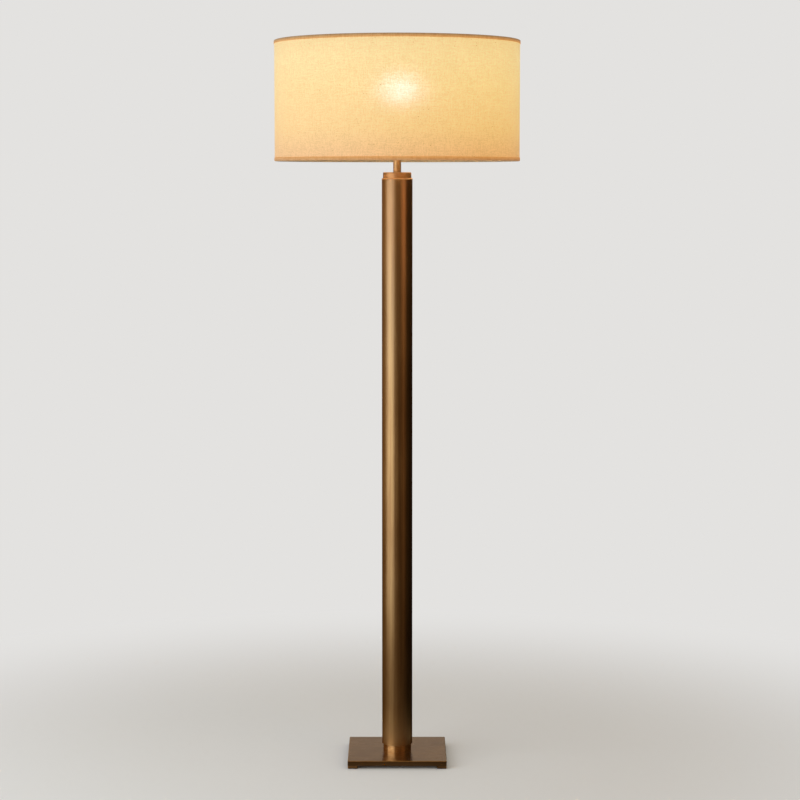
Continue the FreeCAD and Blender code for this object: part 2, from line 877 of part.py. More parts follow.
def harp_crown():
    """The small hub soldered on the middle of the harp, with a socket on top for the stud's shank."""
    shank = size.stud_shank_radius + size.pin_gap
    floor = size.crown_height - size.stud_shank_length - size.thread_gap
    hub = turned(
        "harp_crown",
        (0, 0),
        (size.crown_radius, 0),
        (size.crown_radius, size.crown_height),
        (shank, size.crown_height),
        (shank, floor),
        (0, floor),
    )
    wire_hole = sketch_on(hub, "YZ_Plane", "wire_hole")
    draw_circle(wire_hole, size.harp_wire_radius + size.pin_gap, 0, size.crown_wire_height)
    cut(hub, wire_hole)
    keep(place(hub, up=crown_top - size.crown_height))


def harp_stud():
    """The stud that swivels in the crown: shank, collar that the shade sits on, and thread."""
    shank = size.stud_shank_length
    collar_top = shank + size.stud_collar_thickness
    top = collar_top + size.stud_thread_length
    stud = turned(
        "harp_stud",
        (0, 0),
        (size.stud_shank_radius, 0),
        (size.stud_shank_radius, shank),
        (size.stud_collar_radius, shank),
        (size.stud_collar_radius, collar_top),
        (size.stud_thread_radius, collar_top),
        (size.stud_thread_radius, top),
        (0, top),
    )
    keep(place(stud, up=crown_top - shank))


# ---------------------------------------------------------------------------------------------------
# Socket with its turn switch
# ---------------------------------------------------------------------------------------------------


def socket_cap():
    """The cup that screws on the pipe and holds the shell, with a set screw through its neck."""
    wall = size.socket_cap_wall
    radius, neck = size.socket_cap_radius, size.socket_neck_radius
    cap = turned(
        "socket_cap",
        (pipe_thread_hole, 0),
        (neck, 0),
        (neck, size.socket_neck_height, size.socket_neck_bend),
        (radius, size.socket_flare_height, size.socket_flare_bend),
        (radius, size.socket_cap_height),
        (radius - wall, size.socket_cap_height),
        (radius - wall, size.socket_flare_height + wall, size.socket_flare_bend - wall),
        (pipe_thread_hole, socket_floor),
    )
    screw_hole = sketch_on(cap, "XZ_Plane", "set_screw_hole")
    draw_circle(screw_hole, size.set_screw_radius + size.thread_gap, 0, size.set_screw_height)
    cut(cap, screw_hole, size.socket_neck_radius)
    keep(place(cap, up=socket_bottom))


def socket_set_screw():
    """The small screw at the back of the cap's neck that locks it to the pipe."""
    screw = turned(
        "socket_set_screw",
        (0, 0),
        (size.set_screw_radius, 0),
        (size.set_screw_radius, size.set_screw_length),
        (0, size.set_screw_length),
    )
    backwards = FreeCAD.Rotation(FreeCAD.Vector(1, 0, 0), -QUARTER_TURN)
    keep(place(screw, 0, size.pipe_radius + size.pin_gap, socket_bottom + size.set_screw_height, backwards))


def stem_hole(body, height):
    """Cuts the switch stem's way into a socket piece, from the front."""
    sketch = sketch_on(body, "XZ_Plane", "stem_hole")
    draw_circle(sketch, size.stem_radius + size.slip_gap, 0, height)
    cut(body, sketch, size.socket_cap_radius, along_normal=True)


def socket_shell():
    """The thin brass shell, beaded at its mouth."""
    wall, top = size.shell_wall, size.shell_length
    bead = shell_radius + size.shell_bead_stand
    bead_bottom = top - size.shell_bead_height
    shell = turned(
        "socket_shell",
        (shell_radius - wall, 0),
        (shell_radius, 0),
        (shell_radius, bead_bottom),
        (bead, bead_bottom),
        (bead, top),
        (shell_radius - wall, top),
    )
    stem_hole(shell, size.switch_height)
    keep(place(shell, up=shell_bottom))


def socket_liner():
    """The fibre sleeve that insulates the shell from what is inside."""
    length = size.shell_length - size.liner_setback * 2
    bore = liner_radius - size.liner_wall
    liner = turned("socket_liner", (bore, 0), (liner_radius, 0), (liner_radius, length), (bore, length))
    stem_hole(liner, size.switch_height - size.liner_setback)
    keep(place(liner, up=shell_bottom + size.liner_setback))


def socket_insulator():
    """The moulded block that holds switch, contact and terminals, notched below these for the leads."""
    radius, height = insulator_radius, size.block_insulator_height
    block = turned("socket_insulator", (0, 0), (radius, 0), (radius, height), (0, height))
    stem = sketch_on(block, "XZ_Plane", "stem_hole", insulator_radius - size.stem_depth)
    draw_circle(stem, size.stem_radius + size.pin_gap, 0, size.switch_height)
    cut(block, stem, size.stem_depth + size.slip_gap, along_normal=True)
    notch_floor = insulator_radius - size.terminal_notch_depth
    notch = sketch_on(block, "YZ_Plane", "terminal_notch", notch_floor)
    half = size.terminal_notch_width / 2
    middle = height / 2
    draw_rectangle(notch, -half, half, 0, middle + half)
    feature = cut(block, notch, size.terminal_notch_depth + size.slip_gap, along_normal=True)
    repeat_round(block, feature, len(SIDES))
    screw_hole = sketch_on(block, "YZ_Plane", "terminal_screw_hole")
    draw_circle(screw_hole, size.terminal_screw_radius + size.thread_gap, 0, middle)
    cut(block, screw_hole)
    keep(place(block, up=shell_bottom))


def terminal_screw(name, side):
    """A binding screw in the side of the insulator block, for one lead of the flex."""
    shank = size.terminal_screw_length
    top = shank + size.terminal_head_height
    screw = turned(
        f"terminal_screw_{name}",
        (0, 0),
        (size.terminal_screw_radius, 0),
        (size.terminal_screw_radius, shank),
        (size.terminal_head_radius, shank),
        (size.terminal_head_radius, top),
        (0, top),
    )
    notch_floor = insulator_radius - size.terminal_notch_depth
    outwards = FreeCAD.Rotation(FreeCAD.Vector(0, 1, 0), QUARTER_TURN * side)
    level = shell_bottom + size.block_insulator_height / 2
    return place(screw, (notch_floor - shank) * side, 0, level, outwards)


def socket_screw_shell():
    """The threaded shell that takes the bulb, its thread left plain, with a lip on the block."""
    bore = size.bulb_screw_radius + size.slip_gap
    wall = size.screw_shell_wall
    shell = turned(
        "socket_screw_shell",
        (size.screw_shell_lip, 0),
        (bore + wall, 0),
        (bore + wall, size.screw_shell_length),
        (bore, size.screw_shell_length),
        (bore, wall),
        (size.screw_shell_lip, wall),
    )
    keep(place(shell, up=insulator_top))


def socket_contact():
    """The rivet at the bottom of the socket that meets the bulb's contact."""
    radius, height = size.contact_radius, size.contact_height
    contact = turned("socket_contact", (0, 0), (radius, 0), (radius, height), (0, height))
    keep(place(contact, up=insulator_top))


forwards = FreeCAD.Rotation(FreeCAD.Vector(1, 0, 0), QUARTER_TURN)


def switch_stem():
    """The switch's round shaft, out of the insulator block through the shell to the knob."""
    inner = insulator_radius - size.stem_depth + size.slip_gap
    length = size.stem_depth + size.stem_reach
    stem = turned("switch_stem", (0, 0), (size.stem_radius, 0), (size.stem_radius, length), (0, length))
    keep(place(stem, 0, -inner, switch_level, forwards))


def switch_knob():
    """The fluted knob pushed on the stem."""
    radius, length, edge = size.knob_radius, size.knob_length, size.knob_bevel
    bore = size.stem_radius + size.pin_gap
    knob = turned(
        "switch_knob",
        (bore, 0),
        (radius - edge, 0),
        (radius, edge),
        (radius, length - edge),
        (radius - edge, length),
        (0, length),
        (0, size.knob_bore_depth),
        (bore, size.knob_bore_depth),
    )
    flute = sketch_on(knob, "XY_Plane", "flute")
    draw_circle(flute, size.knob_flute_radius, radius, 0)
    repeat_round(knob, cut(knob, flute), KNOB_FLUTES)
    keep(place(knob, 0, -(shell_radius + size.knob_gap), switch_level, forwards))


# ---------------------------------------------------------------------------------------------------
# Bulb
# ---------------------------------------------------------------------------------------------------


def bulb():
    """The lamp's bulb: contact, black insulator, screw cap, white housing and opal globe."""
    contact_top = size.bulb_contact_height
    contact = turned(
        "bulb_contact",
        (0, 0),
        (size.bulb_contact_radius, 0),
        (size.bulb_contact_radius, contact_top),
        (0, contact_top),
    )
    keep(place(contact, up=bulb_bottom))

    insulator_height = size.bulb_insulator_height
    insulator = turned(
        "bulb_insulator",
        (0, 0),
        (size.bulb_contact_radius, 0),
        (size.bulb_insulator_radius, insulator_height),
        (0, insulator_height),
    )
    keep(place(insulator, up=bulb_bottom + contact_top))

    wall, length = size.bulb_screw_wall, size.bulb_screw_length
    radius, shoulder = size.bulb_screw_radius, size.bulb_screw_shoulder
    screw = turned(
        "bulb_screw_cap",
        (0, 0),
        (size.bulb_insulator_radius, 0),
        (radius, shoulder),
        (radius, length),
        (radius - wall, length),
        (radius - wall, shoulder + wall),
        (0, shoulder + wall),
    )
    screw_bottom = bulb_bottom + contact_top + insulator_height
    keep(place(screw, up=screw_bottom))

    spigot = radius - wall - size.pin_gap
    step = size.bulb_spigot_length
    foot_top = step + size.bulb_housing_foot_height
    rim = step + size.bulb_housing_length
    housing = turned(
        "bulb_housing",
        (0, 0),
        (spigot, 0),
        (spigot, step),
        (size.bulb_housing_foot_radius, step),
        (size.bulb_housing_foot_radius, foot_top),
        (size.bulb_housing_rim_radius, rim),
        (0, rim),
    )
    housing_bottom = screw_bottom + length - step
    keep(place(housing, up=housing_bottom))

    globe_wall, top = size.globe_wall, size.globe_height
    outer, inner = size.globe_radius, size.globe_radius - globe_wall
    mouth = size.bulb_housing_rim_radius
    waist, bend = size.globe_waist_height, size.globe_waist_bend
    globe = turned(
        "bulb_globe",
        (mouth - globe_wall, 0),
        (mouth, 0),
        (outer, waist, bend),
        (outer, top, outer),
        (0, top),
        (0, top - globe_wall),
        (inner, top - globe_wall, inner),
        (inner, waist, bend - globe_wall),
    )
    keep(place(globe, up=housing_bottom + rim))


# ---------------------------------------------------------------------------------------------------
# Shade and finial
# ---------------------------------------------------------------------------------------------------


def drum(label, radius, thickness):
    """One layer of the laminated drum."""
    ring_between(label, radius - thickness, radius, linen_height, linen_bottom)


def shade_wire(label, level):
    """One of the two wire rings that hold the drum round."""
    ring = doc.addObject("Part::Torus", label)
    ring.setExpression("Radius1", shade_wire_centre.formula)
    ring.setExpression("Radius2", size.shade_wire_radius.formula)
    keep(place(ring, up=level))


def trim(label):
    """A strip of the shade's own linen folded over a rim and its wire, as a hooked section."""
    height, edge, thick = size.trim_height, size.trim_bevel, size.trim_thickness
    outer_face, inner_face, ceiling = trim_radius - thick, trim_inside + thick, height - thick
    return turned(
        label,
        (outer_face, 0),
        (trim_radius, 0),
        (trim_radius, height - edge),
        (trim_radius - edge, height),
        (trim_inside + edge, height),
        (trim_inside, height - edge),
        (trim_inside, 0),
        (inner_face, 0),
        (inner_face, ceiling - inner_bevel),
        (inner_face + inner_bevel, ceiling),
        (outer_face - inner_bevel, ceiling),
        (outer_face, ceiling - inner_bevel),
    )


def shade_trims():
    """The trims on both rims. The top one is notched inside for the spider's arms."""
    top = trim("shade_top_trim")
    notch = sketch_on(top, "XY_Plane", "arm_notch")
    half_width = size.spider_arm_radius + size.arm_notch_spare
    inner, outer = trim_inside - size.trim_thickness, shade_wire_inside
    draw_rectangle(notch, -half_width, half_width, inner, outer)
    arm_level = size.trim_height - shade_wire_drop
    notch_height = arm_level + size.spider_arm_radius + size.arm_notch_spare
    repeat_round(top, cut(top, notch, notch_height, along_normal=True), len(SPIDER_ARMS))
    keep(place(top, up=shade_top - size.trim_height))
    upside_down = FreeCAD.Rotation(FreeCAD.Vector(1, 0, 0), FULL_TURN / 2)
    keep(place(trim("shade_bottom_trim"), up=shade_bottom + size.trim_height, rotation=upside_down))


def spider_hub():
    """The washer in the middle of the spider, which sits on the stud's collar."""
    hole = size.stud_thread_radius + size.slip_gap
    ring_between("spider_hub", hole, size.spider_hub_radius, size.spider_hub_thickness, shade_seat)


def spider_arm(name, number):
    """A straight rod from the hub's edge up to the top wire ring, welded at both ends."""
    start = size.spider_hub_radius + size.weld_gap
    reach = shade_wire_inside - size.weld_gap
    rise = spider_hub_top - size.spider_hub_thickness / 2
    wire_level = shade_top - shade_wire_drop
    route = [(start, 0), (reach, wire_level - rise)]
    arm = bent_rod(f"spider_arm_{name}", size.spider_arm_radius, route, "YZ_Plane", start, 0, 0)
    turned_to = FreeCAD.Rotation(UPRIGHT, QUARTER_TURN + number * FULL_TURN / len(SPIDER_ARMS))
    keep(place(arm, up=rise, rotation=turned_to))


def finial():
    """The turned knob that screws down on the stud and holds the shade."""
    bore = size.stud_thread_radius + size.slip_gap
    foot, waist, knob = size.finial_foot_radius, size.finial_waist_radius, size.finial_knob_radius
    slope, edge, top = size.finial_slope, size.finial_bevel, size.finial_height
    body = turned(
        "finial",
        (bore, 0),
        (foot, 0),
        (foot, size.finial_foot_height),
        (waist, size.finial_foot_height + slope),
        (waist, size.finial_waist_height),
        (knob, size.finial_waist_height + slope),
        (knob, top - edge),
        (knob - edge, top),
        (0, top),
        (0, size.finial_bore_depth),
        (bore, size.finial_bore_depth),
    )
    keep(place(body, up=spider_hub_top))


# ---------------------------------------------------------------------------------------------------
# The lamp, from the floor up
# ---------------------------------------------------------------------------------------------------

for corner_name, (corner_side, corner_front) in CORNERS.items():
    floor_pad(corner_name, corner_side, corner_front)
    corner_block(corner_name, corner_side, corner_front)
keep_group("block_screws", [block_screw(name, *signs) for name, signs in CORNERS.items()])
base_plate()
pipe_end_bushing()
keep(place(hex_nut("base_nut"), up=nut_bottom))
ring_between(
    "base_lock_washer", pipe_thread_hole, size.lock_washer_radius, size.lock_washer_thickness, nut_top
)
base_ring()
lamp_pipe()
column_tube()
column_plugs()
top_cap()
neck_tube()
neck_check_ring()
harp_saddle()
keep(place(hex_nut("saddle_nut"), up=saddle_nut_bottom))
socket_cap()
socket_set_screw()
socket_shell()
socket_liner()
socket_insulator()
keep_group("terminal_screws", [terminal_screw(*side) for side in SIDES.items()])
socket_screw_shell()
socket_contact()
switch_stem()
switch_knob()
bulb()
harp()
for ferrule_name, ferrule_side in SIDES.items():
    harp_ferrule(ferrule_name, ferrule_side)
harp_crown()
harp_stud()
spider_hub()
for arm_number, arm_name in enumerate(SPIDER_ARMS):
    spider_arm(arm_name, arm_number)
shade_wire("shade_top_wire", shade_top - shade_wire_drop)
shade_wire("shade_bottom_wire", shade_bottom + shade_wire_drop)
drum("shade_backing", backing_radius, size.backing_thickness)
drum("shade_linen", size.shade_radius, size.linen_thickness)
shade_trims()
finial()

# ---------------------------------------------------------------------------------------------------
# Check the document, then write one file for each piece
# ---------------------------------------------------------------------------------------------------

doc.recompute()
for item in doc.Objects:
    if {"Invalid", "Error"} & set(item.State):
        raise ValueError(f"{item.Label} failed: {item.State}")
    if item.TypeId == "Sketcher::SketchObject" and item.solve() != 0:
        raise ValueError(f"the sketch {item.Label} doesn't solve")
for label, part in parts.items():
    if part.Shape.isNull() or not part.Shape.isValid() or not part.Shape.Solids:
        raise ValueError(f"{label} has no valid solid")

os.makedirs("parts", exist_ok=True)
for label, part in parts.items():
    part.Shape.exportStep(f"parts/{label}.step")
print(f"{len(parts)} pieces written")
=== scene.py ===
"""Column floor lamp: the finish of every piece, and the cloth of its shade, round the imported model.

Metres, +Z up, -Y the front, the origin on the floor under the column. The sections follow the lamp as it is
put together: base, column and neck, harp and socket, bulb, spider, drum, trims, and the finial that holds
the shade down. The studio and the camera come last.
"""

import math

import bmesh
import bpy
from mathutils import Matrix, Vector
from mathutils.noise import noise


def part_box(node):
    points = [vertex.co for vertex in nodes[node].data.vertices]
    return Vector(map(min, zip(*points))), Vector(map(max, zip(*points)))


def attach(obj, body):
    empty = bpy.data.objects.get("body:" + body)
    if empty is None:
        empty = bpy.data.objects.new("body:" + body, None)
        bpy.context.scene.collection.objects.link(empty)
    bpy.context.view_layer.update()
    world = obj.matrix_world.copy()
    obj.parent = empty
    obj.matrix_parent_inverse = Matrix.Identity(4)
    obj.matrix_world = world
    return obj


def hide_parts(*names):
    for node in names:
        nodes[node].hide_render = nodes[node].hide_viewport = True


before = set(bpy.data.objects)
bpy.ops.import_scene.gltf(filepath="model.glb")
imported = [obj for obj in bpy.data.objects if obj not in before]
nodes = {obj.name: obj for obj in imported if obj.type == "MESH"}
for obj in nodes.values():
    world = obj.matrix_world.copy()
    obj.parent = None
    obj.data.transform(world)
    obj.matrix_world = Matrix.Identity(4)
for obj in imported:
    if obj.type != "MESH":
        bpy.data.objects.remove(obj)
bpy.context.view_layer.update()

# ---------------------------------------------------------------------------------------------------
# Felt pads: squares of pressed wool felt, cut from a sheet and glued under the corner blocks. Their edges
# are soft and a little fuzzy, so they are made here and stand for the plain solids.
# ---------------------------------------------------------------------------------------------------


class Varying:
    """What a node puts out: a number, a colour or a vector that varies over the surface."""

    def __init__(self, finish, socket):
        self.finish = finish
        self.socket = socket

    def maths(self, operation, first, second):
        settings = {"operation": operation}
        return self.finish.node("ShaderNodeMath", settings, {0: first, 1: second})

    def __add__(self, other):
        return self.maths("ADD", self, other)

    def __radd__(self, other):
        return self.maths("ADD", other, self)

    def __sub__(self, other):
        return self.maths("SUBTRACT", self, other)

    def __rsub__(self, other):
        return self.maths("SUBTRACT", other, self)

    def __mul__(self, other):
        return self.maths("MULTIPLY", self, other)

    def __rmul__(self, other):
        return self.maths("MULTIPLY", other, self)

    def __truediv__(self, other):
        return self.maths("DIVIDE", self, other)

    def __rtruediv__(self, other):
        return self.maths("DIVIDE", other, self)

    def __abs__(self):
        return self.maths("ABSOLUTE", self, 0)


class Finish:
    """A material in the making, or the nodes of the studio's surroundings."""

    def __init__(self, name, tree=None):
        self.material = None
        if tree is None:
            self.material = bpy.data.materials.new(name)
            self.material.use_nodes = True
            tree = self.material.node_tree
        self.tree = tree
        tree.nodes.clear()

    def node(self, kind, settings, inputs, output=0):
        """Adds a node: its settings first, then the values or links of its sockets."""
        made = self.tree.nodes.new(kind)
        for name, value in settings.items():
            if name == "stops":
                self.set_stops(made.color_ramp, value)
            else:
                setattr(made, name, value)
        for name, value in inputs.items():
            if isinstance(value, Varying):
                self.tree.links.new(value.socket, made.inputs[name])
            else:
                made.inputs[name].default_value = value
        return Varying(self, made.outputs[output])

    def set_stops(self, ramp, stops):
        while len(ramp.elements) < len(stops):
            ramp.elements.new(1.0)
        for element, (place, colour) in zip(ramp.elements, stops):
            element.position = place
            element.color = (*colour, 1.0)

    def place(self):
        """The point on the piece, in metres in the lamp's frame, as x, y and z."""
        point = self.node("ShaderNodeTexCoord", {}, {}, "Object")
        return [self.node("ShaderNodeSeparateXYZ", {}, {0: point}, axis) for axis in range(3)]

    def from_axis(self, x, y):
        """Metres from the lamp's axis."""
        return self.node("ShaderNodeMath", {"operation": "SQRT"}, {0: x * x + y * y})

    def vector(self, x, y, z):
        return self.node("ShaderNodeCombineXYZ", {}, {0: x, 1: y, 2: z})

    def cloud(self, x, y, z, detail=3.0):
        """Soft random variation from 0 to 1, over coordinates in lumps: x * 34 has 34 to the metre."""
        inputs = {"Vector": self.vector(x, y, z), "Scale": 1.0, "Detail": detail}
        return self.node("ShaderNodeTexNoise", {}, inputs, "Fac")

    def spots(self, x, y, z):
        """Distance to the nearest of scattered points, over coordinates in lumps."""
        inputs = {"Vector": self.vector(x, y, z), "Scale": 1.0}
        return self.node("ShaderNodeTexVoronoi", {}, inputs, "Distance")

    def between(self, value, low, high, out_low=0.0, out_high=1.0):
        """A smooth step from out_low to out_high while value goes from low to high."""
        settings = {"interpolation_type": "SMOOTHSTEP"}
        inputs = {"Value": value, "From Min": low, "From Max": high, "To Min": out_low, "To Max": out_high}
        return self.node("ShaderNodeMapRange", settings, inputs)

    def blend(self, share, first, second, way="MIX"):
        """A colour that goes from first to second as share goes from 0 to 1."""
        settings = {"data_type": "RGBA", "blend_type": way}
        pair = [value if isinstance(value, Varying) else (*value, 1.0) for value in (first, second)]
        return self.node("ShaderNodeMix", settings, {0: share, 6: pair[0], 7: pair[1]}, 2)

    def bump(self, height, depth, strength=1.0):
        """Normals of a relief whose height goes from 0 to 1 over a depth in metres."""
        inputs = {"Height": height, "Distance": depth, "Strength": strength}
        return self.node("ShaderNodeBump", {}, inputs)

    def surface(self, inputs):
        return self.node("ShaderNodeBsdfPrincipled", {}, inputs)

    def close(self, shader, end_kind="ShaderNodeOutputMaterial"):
        end = self.tree.nodes.new(end_kind)
        self.tree.links.new(shader.socket, end.inputs["Surface"])
        return self.material


FELT_DARK = (0.028, 0.021, 0.017)
FELT_BROWN = (0.085, 0.066, 0.052)
FELT_LINT = (0.12, 0.1, 0.085)


def make_felt():
    felt = Finish("felt")
    x, y, z = felt.place()
    fibres = felt.cloud(x * 2600, y * 2600, z * 2600, 6.0)
    lint = felt.cloud(x * 420, y * 420, z * 420)
    colour = felt.blend(felt.between(fibres, 0.35, 0.7), FELT_DARK, FELT_BROWN)
    inputs = {
        "Base Color": felt.blend(felt.between(lint, 0.6, 0.75), colour, FELT_LINT),
        "Roughness": 0.95,
        "Sheen Weight": 0.4,
        "Sheen Roughness": 0.5,
        "Normal": felt.bump(fibres, 0.0003),
    }
    return felt.close(felt.surface(inputs))


def mesh_piece(name, points, faces):
    """A smooth-shaded piece from its points and faces, in the lamp's frame."""
    mesh = bpy.data.meshes.new(name)
    mesh.from_pydata(points, [], faces)
    mesh.validate()
    work = bmesh.new()
    work.from_mesh(mesh)
    bmesh.ops.recalc_face_normals(work, faces=work.faces)
    work.to_mesh(mesh)
    work.free()
    for face in mesh.polygons:
        face.use_smooth = True
    piece = bpy.data.objects.new(name, mesh)
    bpy.context.scene.collection.objects.link(piece)
    return piece


CORNERS = ("front_left", "front_right", "rear_left", "rear_right")
FELT_CUTS = 14
FELT_CORNER = 0.0022
FELT_FUZZ = 0.0002
FUZZ_LUMPS_PER_METRE = 900
FUZZ_LEVELS_PER_METRE = 500
# Height up the pad, and how far its edge draws in there, both in thicknesses of the felt.
FELT_PROFILE = ((0.0, 0.35), (0.25, 0.05), (0.75, 0.0), (1.0, 0.3))
felt_finish = make_felt()


def felt_outline(half):
    """Points round a square with rounded corners."""
    inner = half - FELT_CORNER
    points = []
    for side in range(4):
        turn = math.radians(90 * side)
        for step in range(FELT_CUTS):
            angle = math.radians(90 * step / (FELT_CUTS - 1)) + turn
            across = inner * (1, -1, -1, 1)[side] + FELT_CORNER * math.cos(angle)
            along = inner * (1, 1, -1, -1)[side] + FELT_CORNER * math.sin(angle)
            points.append((across, along))
    return points


for corner in CORNERS:
    low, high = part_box(f"floor_pad_{corner}")
    middle, thickness = (low + high) / 2, high.z - low.z
    half_side = (high.x - low.x) / 2 - FELT_FUZZ
    points = []
    for level, inset in FELT_PROFILE:
        for across, along in felt_outline(half_side):
            place = Vector((across, along, level / FUZZ_LEVELS_PER_METRE))
            fuzz = 1 + FELT_FUZZ / half_side * noise(place * FUZZ_LUMPS_PER_METRE)
            shrink = fuzz - inset * thickness / half_side
            points.append((middle.x + across * shrink, middle.y + along * shrink, low.z + level * thickness))
    ring = 4 * FELT_CUTS
    top = len(points) - ring
    faces = [
        (row + i, row + (i + 1) % ring, row + ring + (i + 1) % ring, row + ring + i)
        for row in range(0, top, ring)
        for i in range(ring)
    ]
    faces.append(tuple(range(ring)))
    faces.append(tuple(range(top, top + ring)))
    pad = mesh_piece(f"felt_pad_{corner}", points, faces)
    pad.data.materials.append(felt_finish)
    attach(pad, "stand")
    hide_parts(f"floor_pad_{corner}")

# ---------------------------------------------------------------------------------------------------
# Plate and corner blocks: solid brass, milled and brushed flat in one direction, then darkened to an aged
# tone and lacquered. Handling has rubbed the tone thinner along the bevels, which also carry a painted
# highlight, and the plate's side faces and the blocks are painted darker as shade.
# ---------------------------------------------------------------------------------------------------

AGED_DEEP = (0.085, 0.041, 0.015)
AGED_BROWN = (0.2, 0.106, 0.042)
AGED_GOLD = (0.33, 0.202, 0.088)
AGED_RUBBED = (0.56, 0.38, 0.19)
# Painted shade on the plate's side faces and the corner blocks.
SIDE_SHADE_TONE = (0.1, 0.047, 0.013)
GRAZING_TINT = (0.5, 0.37, 0.25, 1.0)
PLATE_TINT = (0.95, 0.95, 0.95, 1.0)
PLATE_RELIEF = 0.00002
# How far inside the plate's outline or top each zone begins, and how far inside it is full. The rubbed
# bevel also carries a painted highlight.
RUBBED_HIGHLIT_EDGE = (0.0022, 0.0009)
RUBBED_HIGHLIT_TOP = (0.0024, 0.001)
SIDE_FACE = (0.0006, 0.0002)
BLOCK_RUB_INSIDE = 0.0012
BLOCK_RUB_WIDTH = 0.0008


def finish_node(node, material):
    """Gives a carried-over piece its material, with its faces' own shading kept."""
    mesh = nodes[node].data
    mesh.materials.clear()
    mesh.materials.append(material)


def aged_brass(
    finish, fine, broad, clouds, brightened, roughness, tones,
    relief=0.00003, tint=GRAZING_TINT, turned=0.0,
):
    """Aged brass, from its fine brushing, broad streaks and clouds of tone, and where it is brightened:
    rubbed, and on the plate's bevels also a painted highlight.

    Turning leaves grooves round a piece, which spread a highlight up and down and keep it narrow.
    """
    tone = finish.between(broad * 0.45 + clouds * 0.55, 0.33, 0.68)
    colour = finish.blend(tone, *tones)
    colour = finish.blend(finish.between(fine, 0.52, 0.78, 0.0, 0.4), colour, AGED_DEEP)
    colour = finish.blend(brightened, colour, AGED_RUBBED)
    rough = roughness + (fine - 0.5) * 0.22 + (clouds - 0.5) * 0.14 - brightened * 0.08
    inputs = {
        "Base Color": colour,
        "Metallic": 1.0,
        "Roughness": rough,
        "Specular Tint": tint,
        "Anisotropic": turned,
        "Anisotropic Rotation": 0.25,
        "Coat Weight": 0.15,
        "Coat Roughness": 0.2,
        "Normal": finish.bump(fine, relief, 0.6),
    }
    return finish.close(finish.surface(inputs))


def make_brushed_plate():
    """Brushed from side to side on top, and along its length on each edge."""
    brass = Finish("brushed_plate_brass")
    x, y, z = brass.place()
    fine = brass.cloud(x * 34, y * 3800, z * 3800, 2.0)
    broad = brass.cloud(x * 7, y * 260, z * 260, 2.0)
    clouds = brass.cloud(x * 16, y * 16, z * 16, 4.0)
    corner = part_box("base_plate")[1]
    edge = brass.node("ShaderNodeMath", {"operation": "MAXIMUM"}, {0: abs(x), 1: abs(y)})
    near_edge = brass.between(edge, corner.x - RUBBED_HIGHLIT_EDGE[0], corner.x - RUBBED_HIGHLIT_EDGE[1])
    near_top = brass.between(z, corner.z - RUBBED_HIGHLIT_TOP[0], corner.z - RUBBED_HIGHLIT_TOP[1])
    patches = brass.between(brass.cloud(x * 60, y * 60, z * 60), 0.3, 0.6, 0.35, 0.9)
    # Painted shade: the plate's side faces are darkened.
    on_side = brass.between(edge, corner.x - SIDE_FACE[0], corner.x - SIDE_FACE[1])
    tones = [brass.blend(on_side, tone, SIDE_SHADE_TONE) for tone in (AGED_BROWN, AGED_GOLD)]
    # Rubbed along the bevels, and there also a painted highlight.
    rubbed = near_edge * near_top * patches * (1 - on_side)
    return aged_brass(brass, fine, broad, clouds, rubbed, 0.24, tones, PLATE_RELIEF, PLATE_TINT)


def make_block_brass():
    """The same brass on the blocks, brushed level, with rubbed outer corners, and painted darker as shade."""
    brass = Finish("block_brass")
    x, y, z = brass.place()
    fine = brass.cloud(x * 160, y * 160, z * 4200, 2.0)
    broad = brass.cloud(x * 30, y * 30, z * 300, 2.0)
    clouds = brass.cloud(x * 40, y * 40, z * 40, 4.0)
    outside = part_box("base_plate")[1].x - BLOCK_RUB_INSIDE
    outer = brass.between(abs(x), outside - BLOCK_RUB_WIDTH, outside)
    outer = outer * brass.between(abs(y), outside - BLOCK_RUB_WIDTH, outside)
    return aged_brass(brass, fine, broad, clouds, outer * 0.6, 0.36, (SIDE_SHADE_TONE, AGED_BROWN))


finish_node("base_plate", make_brushed_plate())
block_brass = make_block_brass()
for corner in CORNERS:
    finish_node(f"corner_block_{corner}", block_brass)

# ---------------------------------------------------------------------------------------------------
# Screws, nuts, washer, lamp pipe and the plugs that centre the column on it: zinc-plated steel, dull and
# faintly bluish or straw-coloured, with the fine rings that turning leaves. Only the screws under the blocks
# and the nut under the plate can be seen.
# ---------------------------------------------------------------------------------------------------

ZINC_BLUISH = (0.5, 0.5, 0.49)
ZINC_STRAW = (0.56, 0.52, 0.42)
ZINC_DULL = (0.28, 0.27, 0.25)


def make_zinc():
    zinc = Finish("zinc_plate")
    x, y, z = zinc.place()
    grain = zinc.cloud(x * 900, y * 900, z * 2200, 4.0)
    stain = zinc.cloud(x * 70, y * 70, z * 70)
    colour = zinc.blend(zinc.between(stain, 0.4, 0.65), ZINC_BLUISH, ZINC_STRAW)
    colour = zinc.blend(zinc.between(grain, 0.55, 0.8, 0.0, 0.5), colour, ZINC_DULL)
    inputs = {
        "Base Color": colour,
        "Metallic": 1.0,
        "Roughness": 0.3 + grain * 0.25,
        "Normal": zinc.bump(grain, 0.00004),
    }
    return zinc.close(zinc.surface(inputs))


ZINC_PIECES = (
    "block_screws", "base_nut", "base_lock_washer", "lamp_pipe",
    "lower_plug", "upper_plug", "saddle_nut", "socket_set_screw",
)
zinc_finish = make_zinc()
for name in ZINC_PIECES:
    finish_node(name, zinc_finish)

# ---------------------------------------------------------------------------------------------------
# Pipe end bushing: a moulded black nylon sleeve pressed into the pipe's lower end, so that the flex doesn't
# rub on the thread. It is matt, with the faint orange-peel of the mould.
# ---------------------------------------------------------------------------------------------------


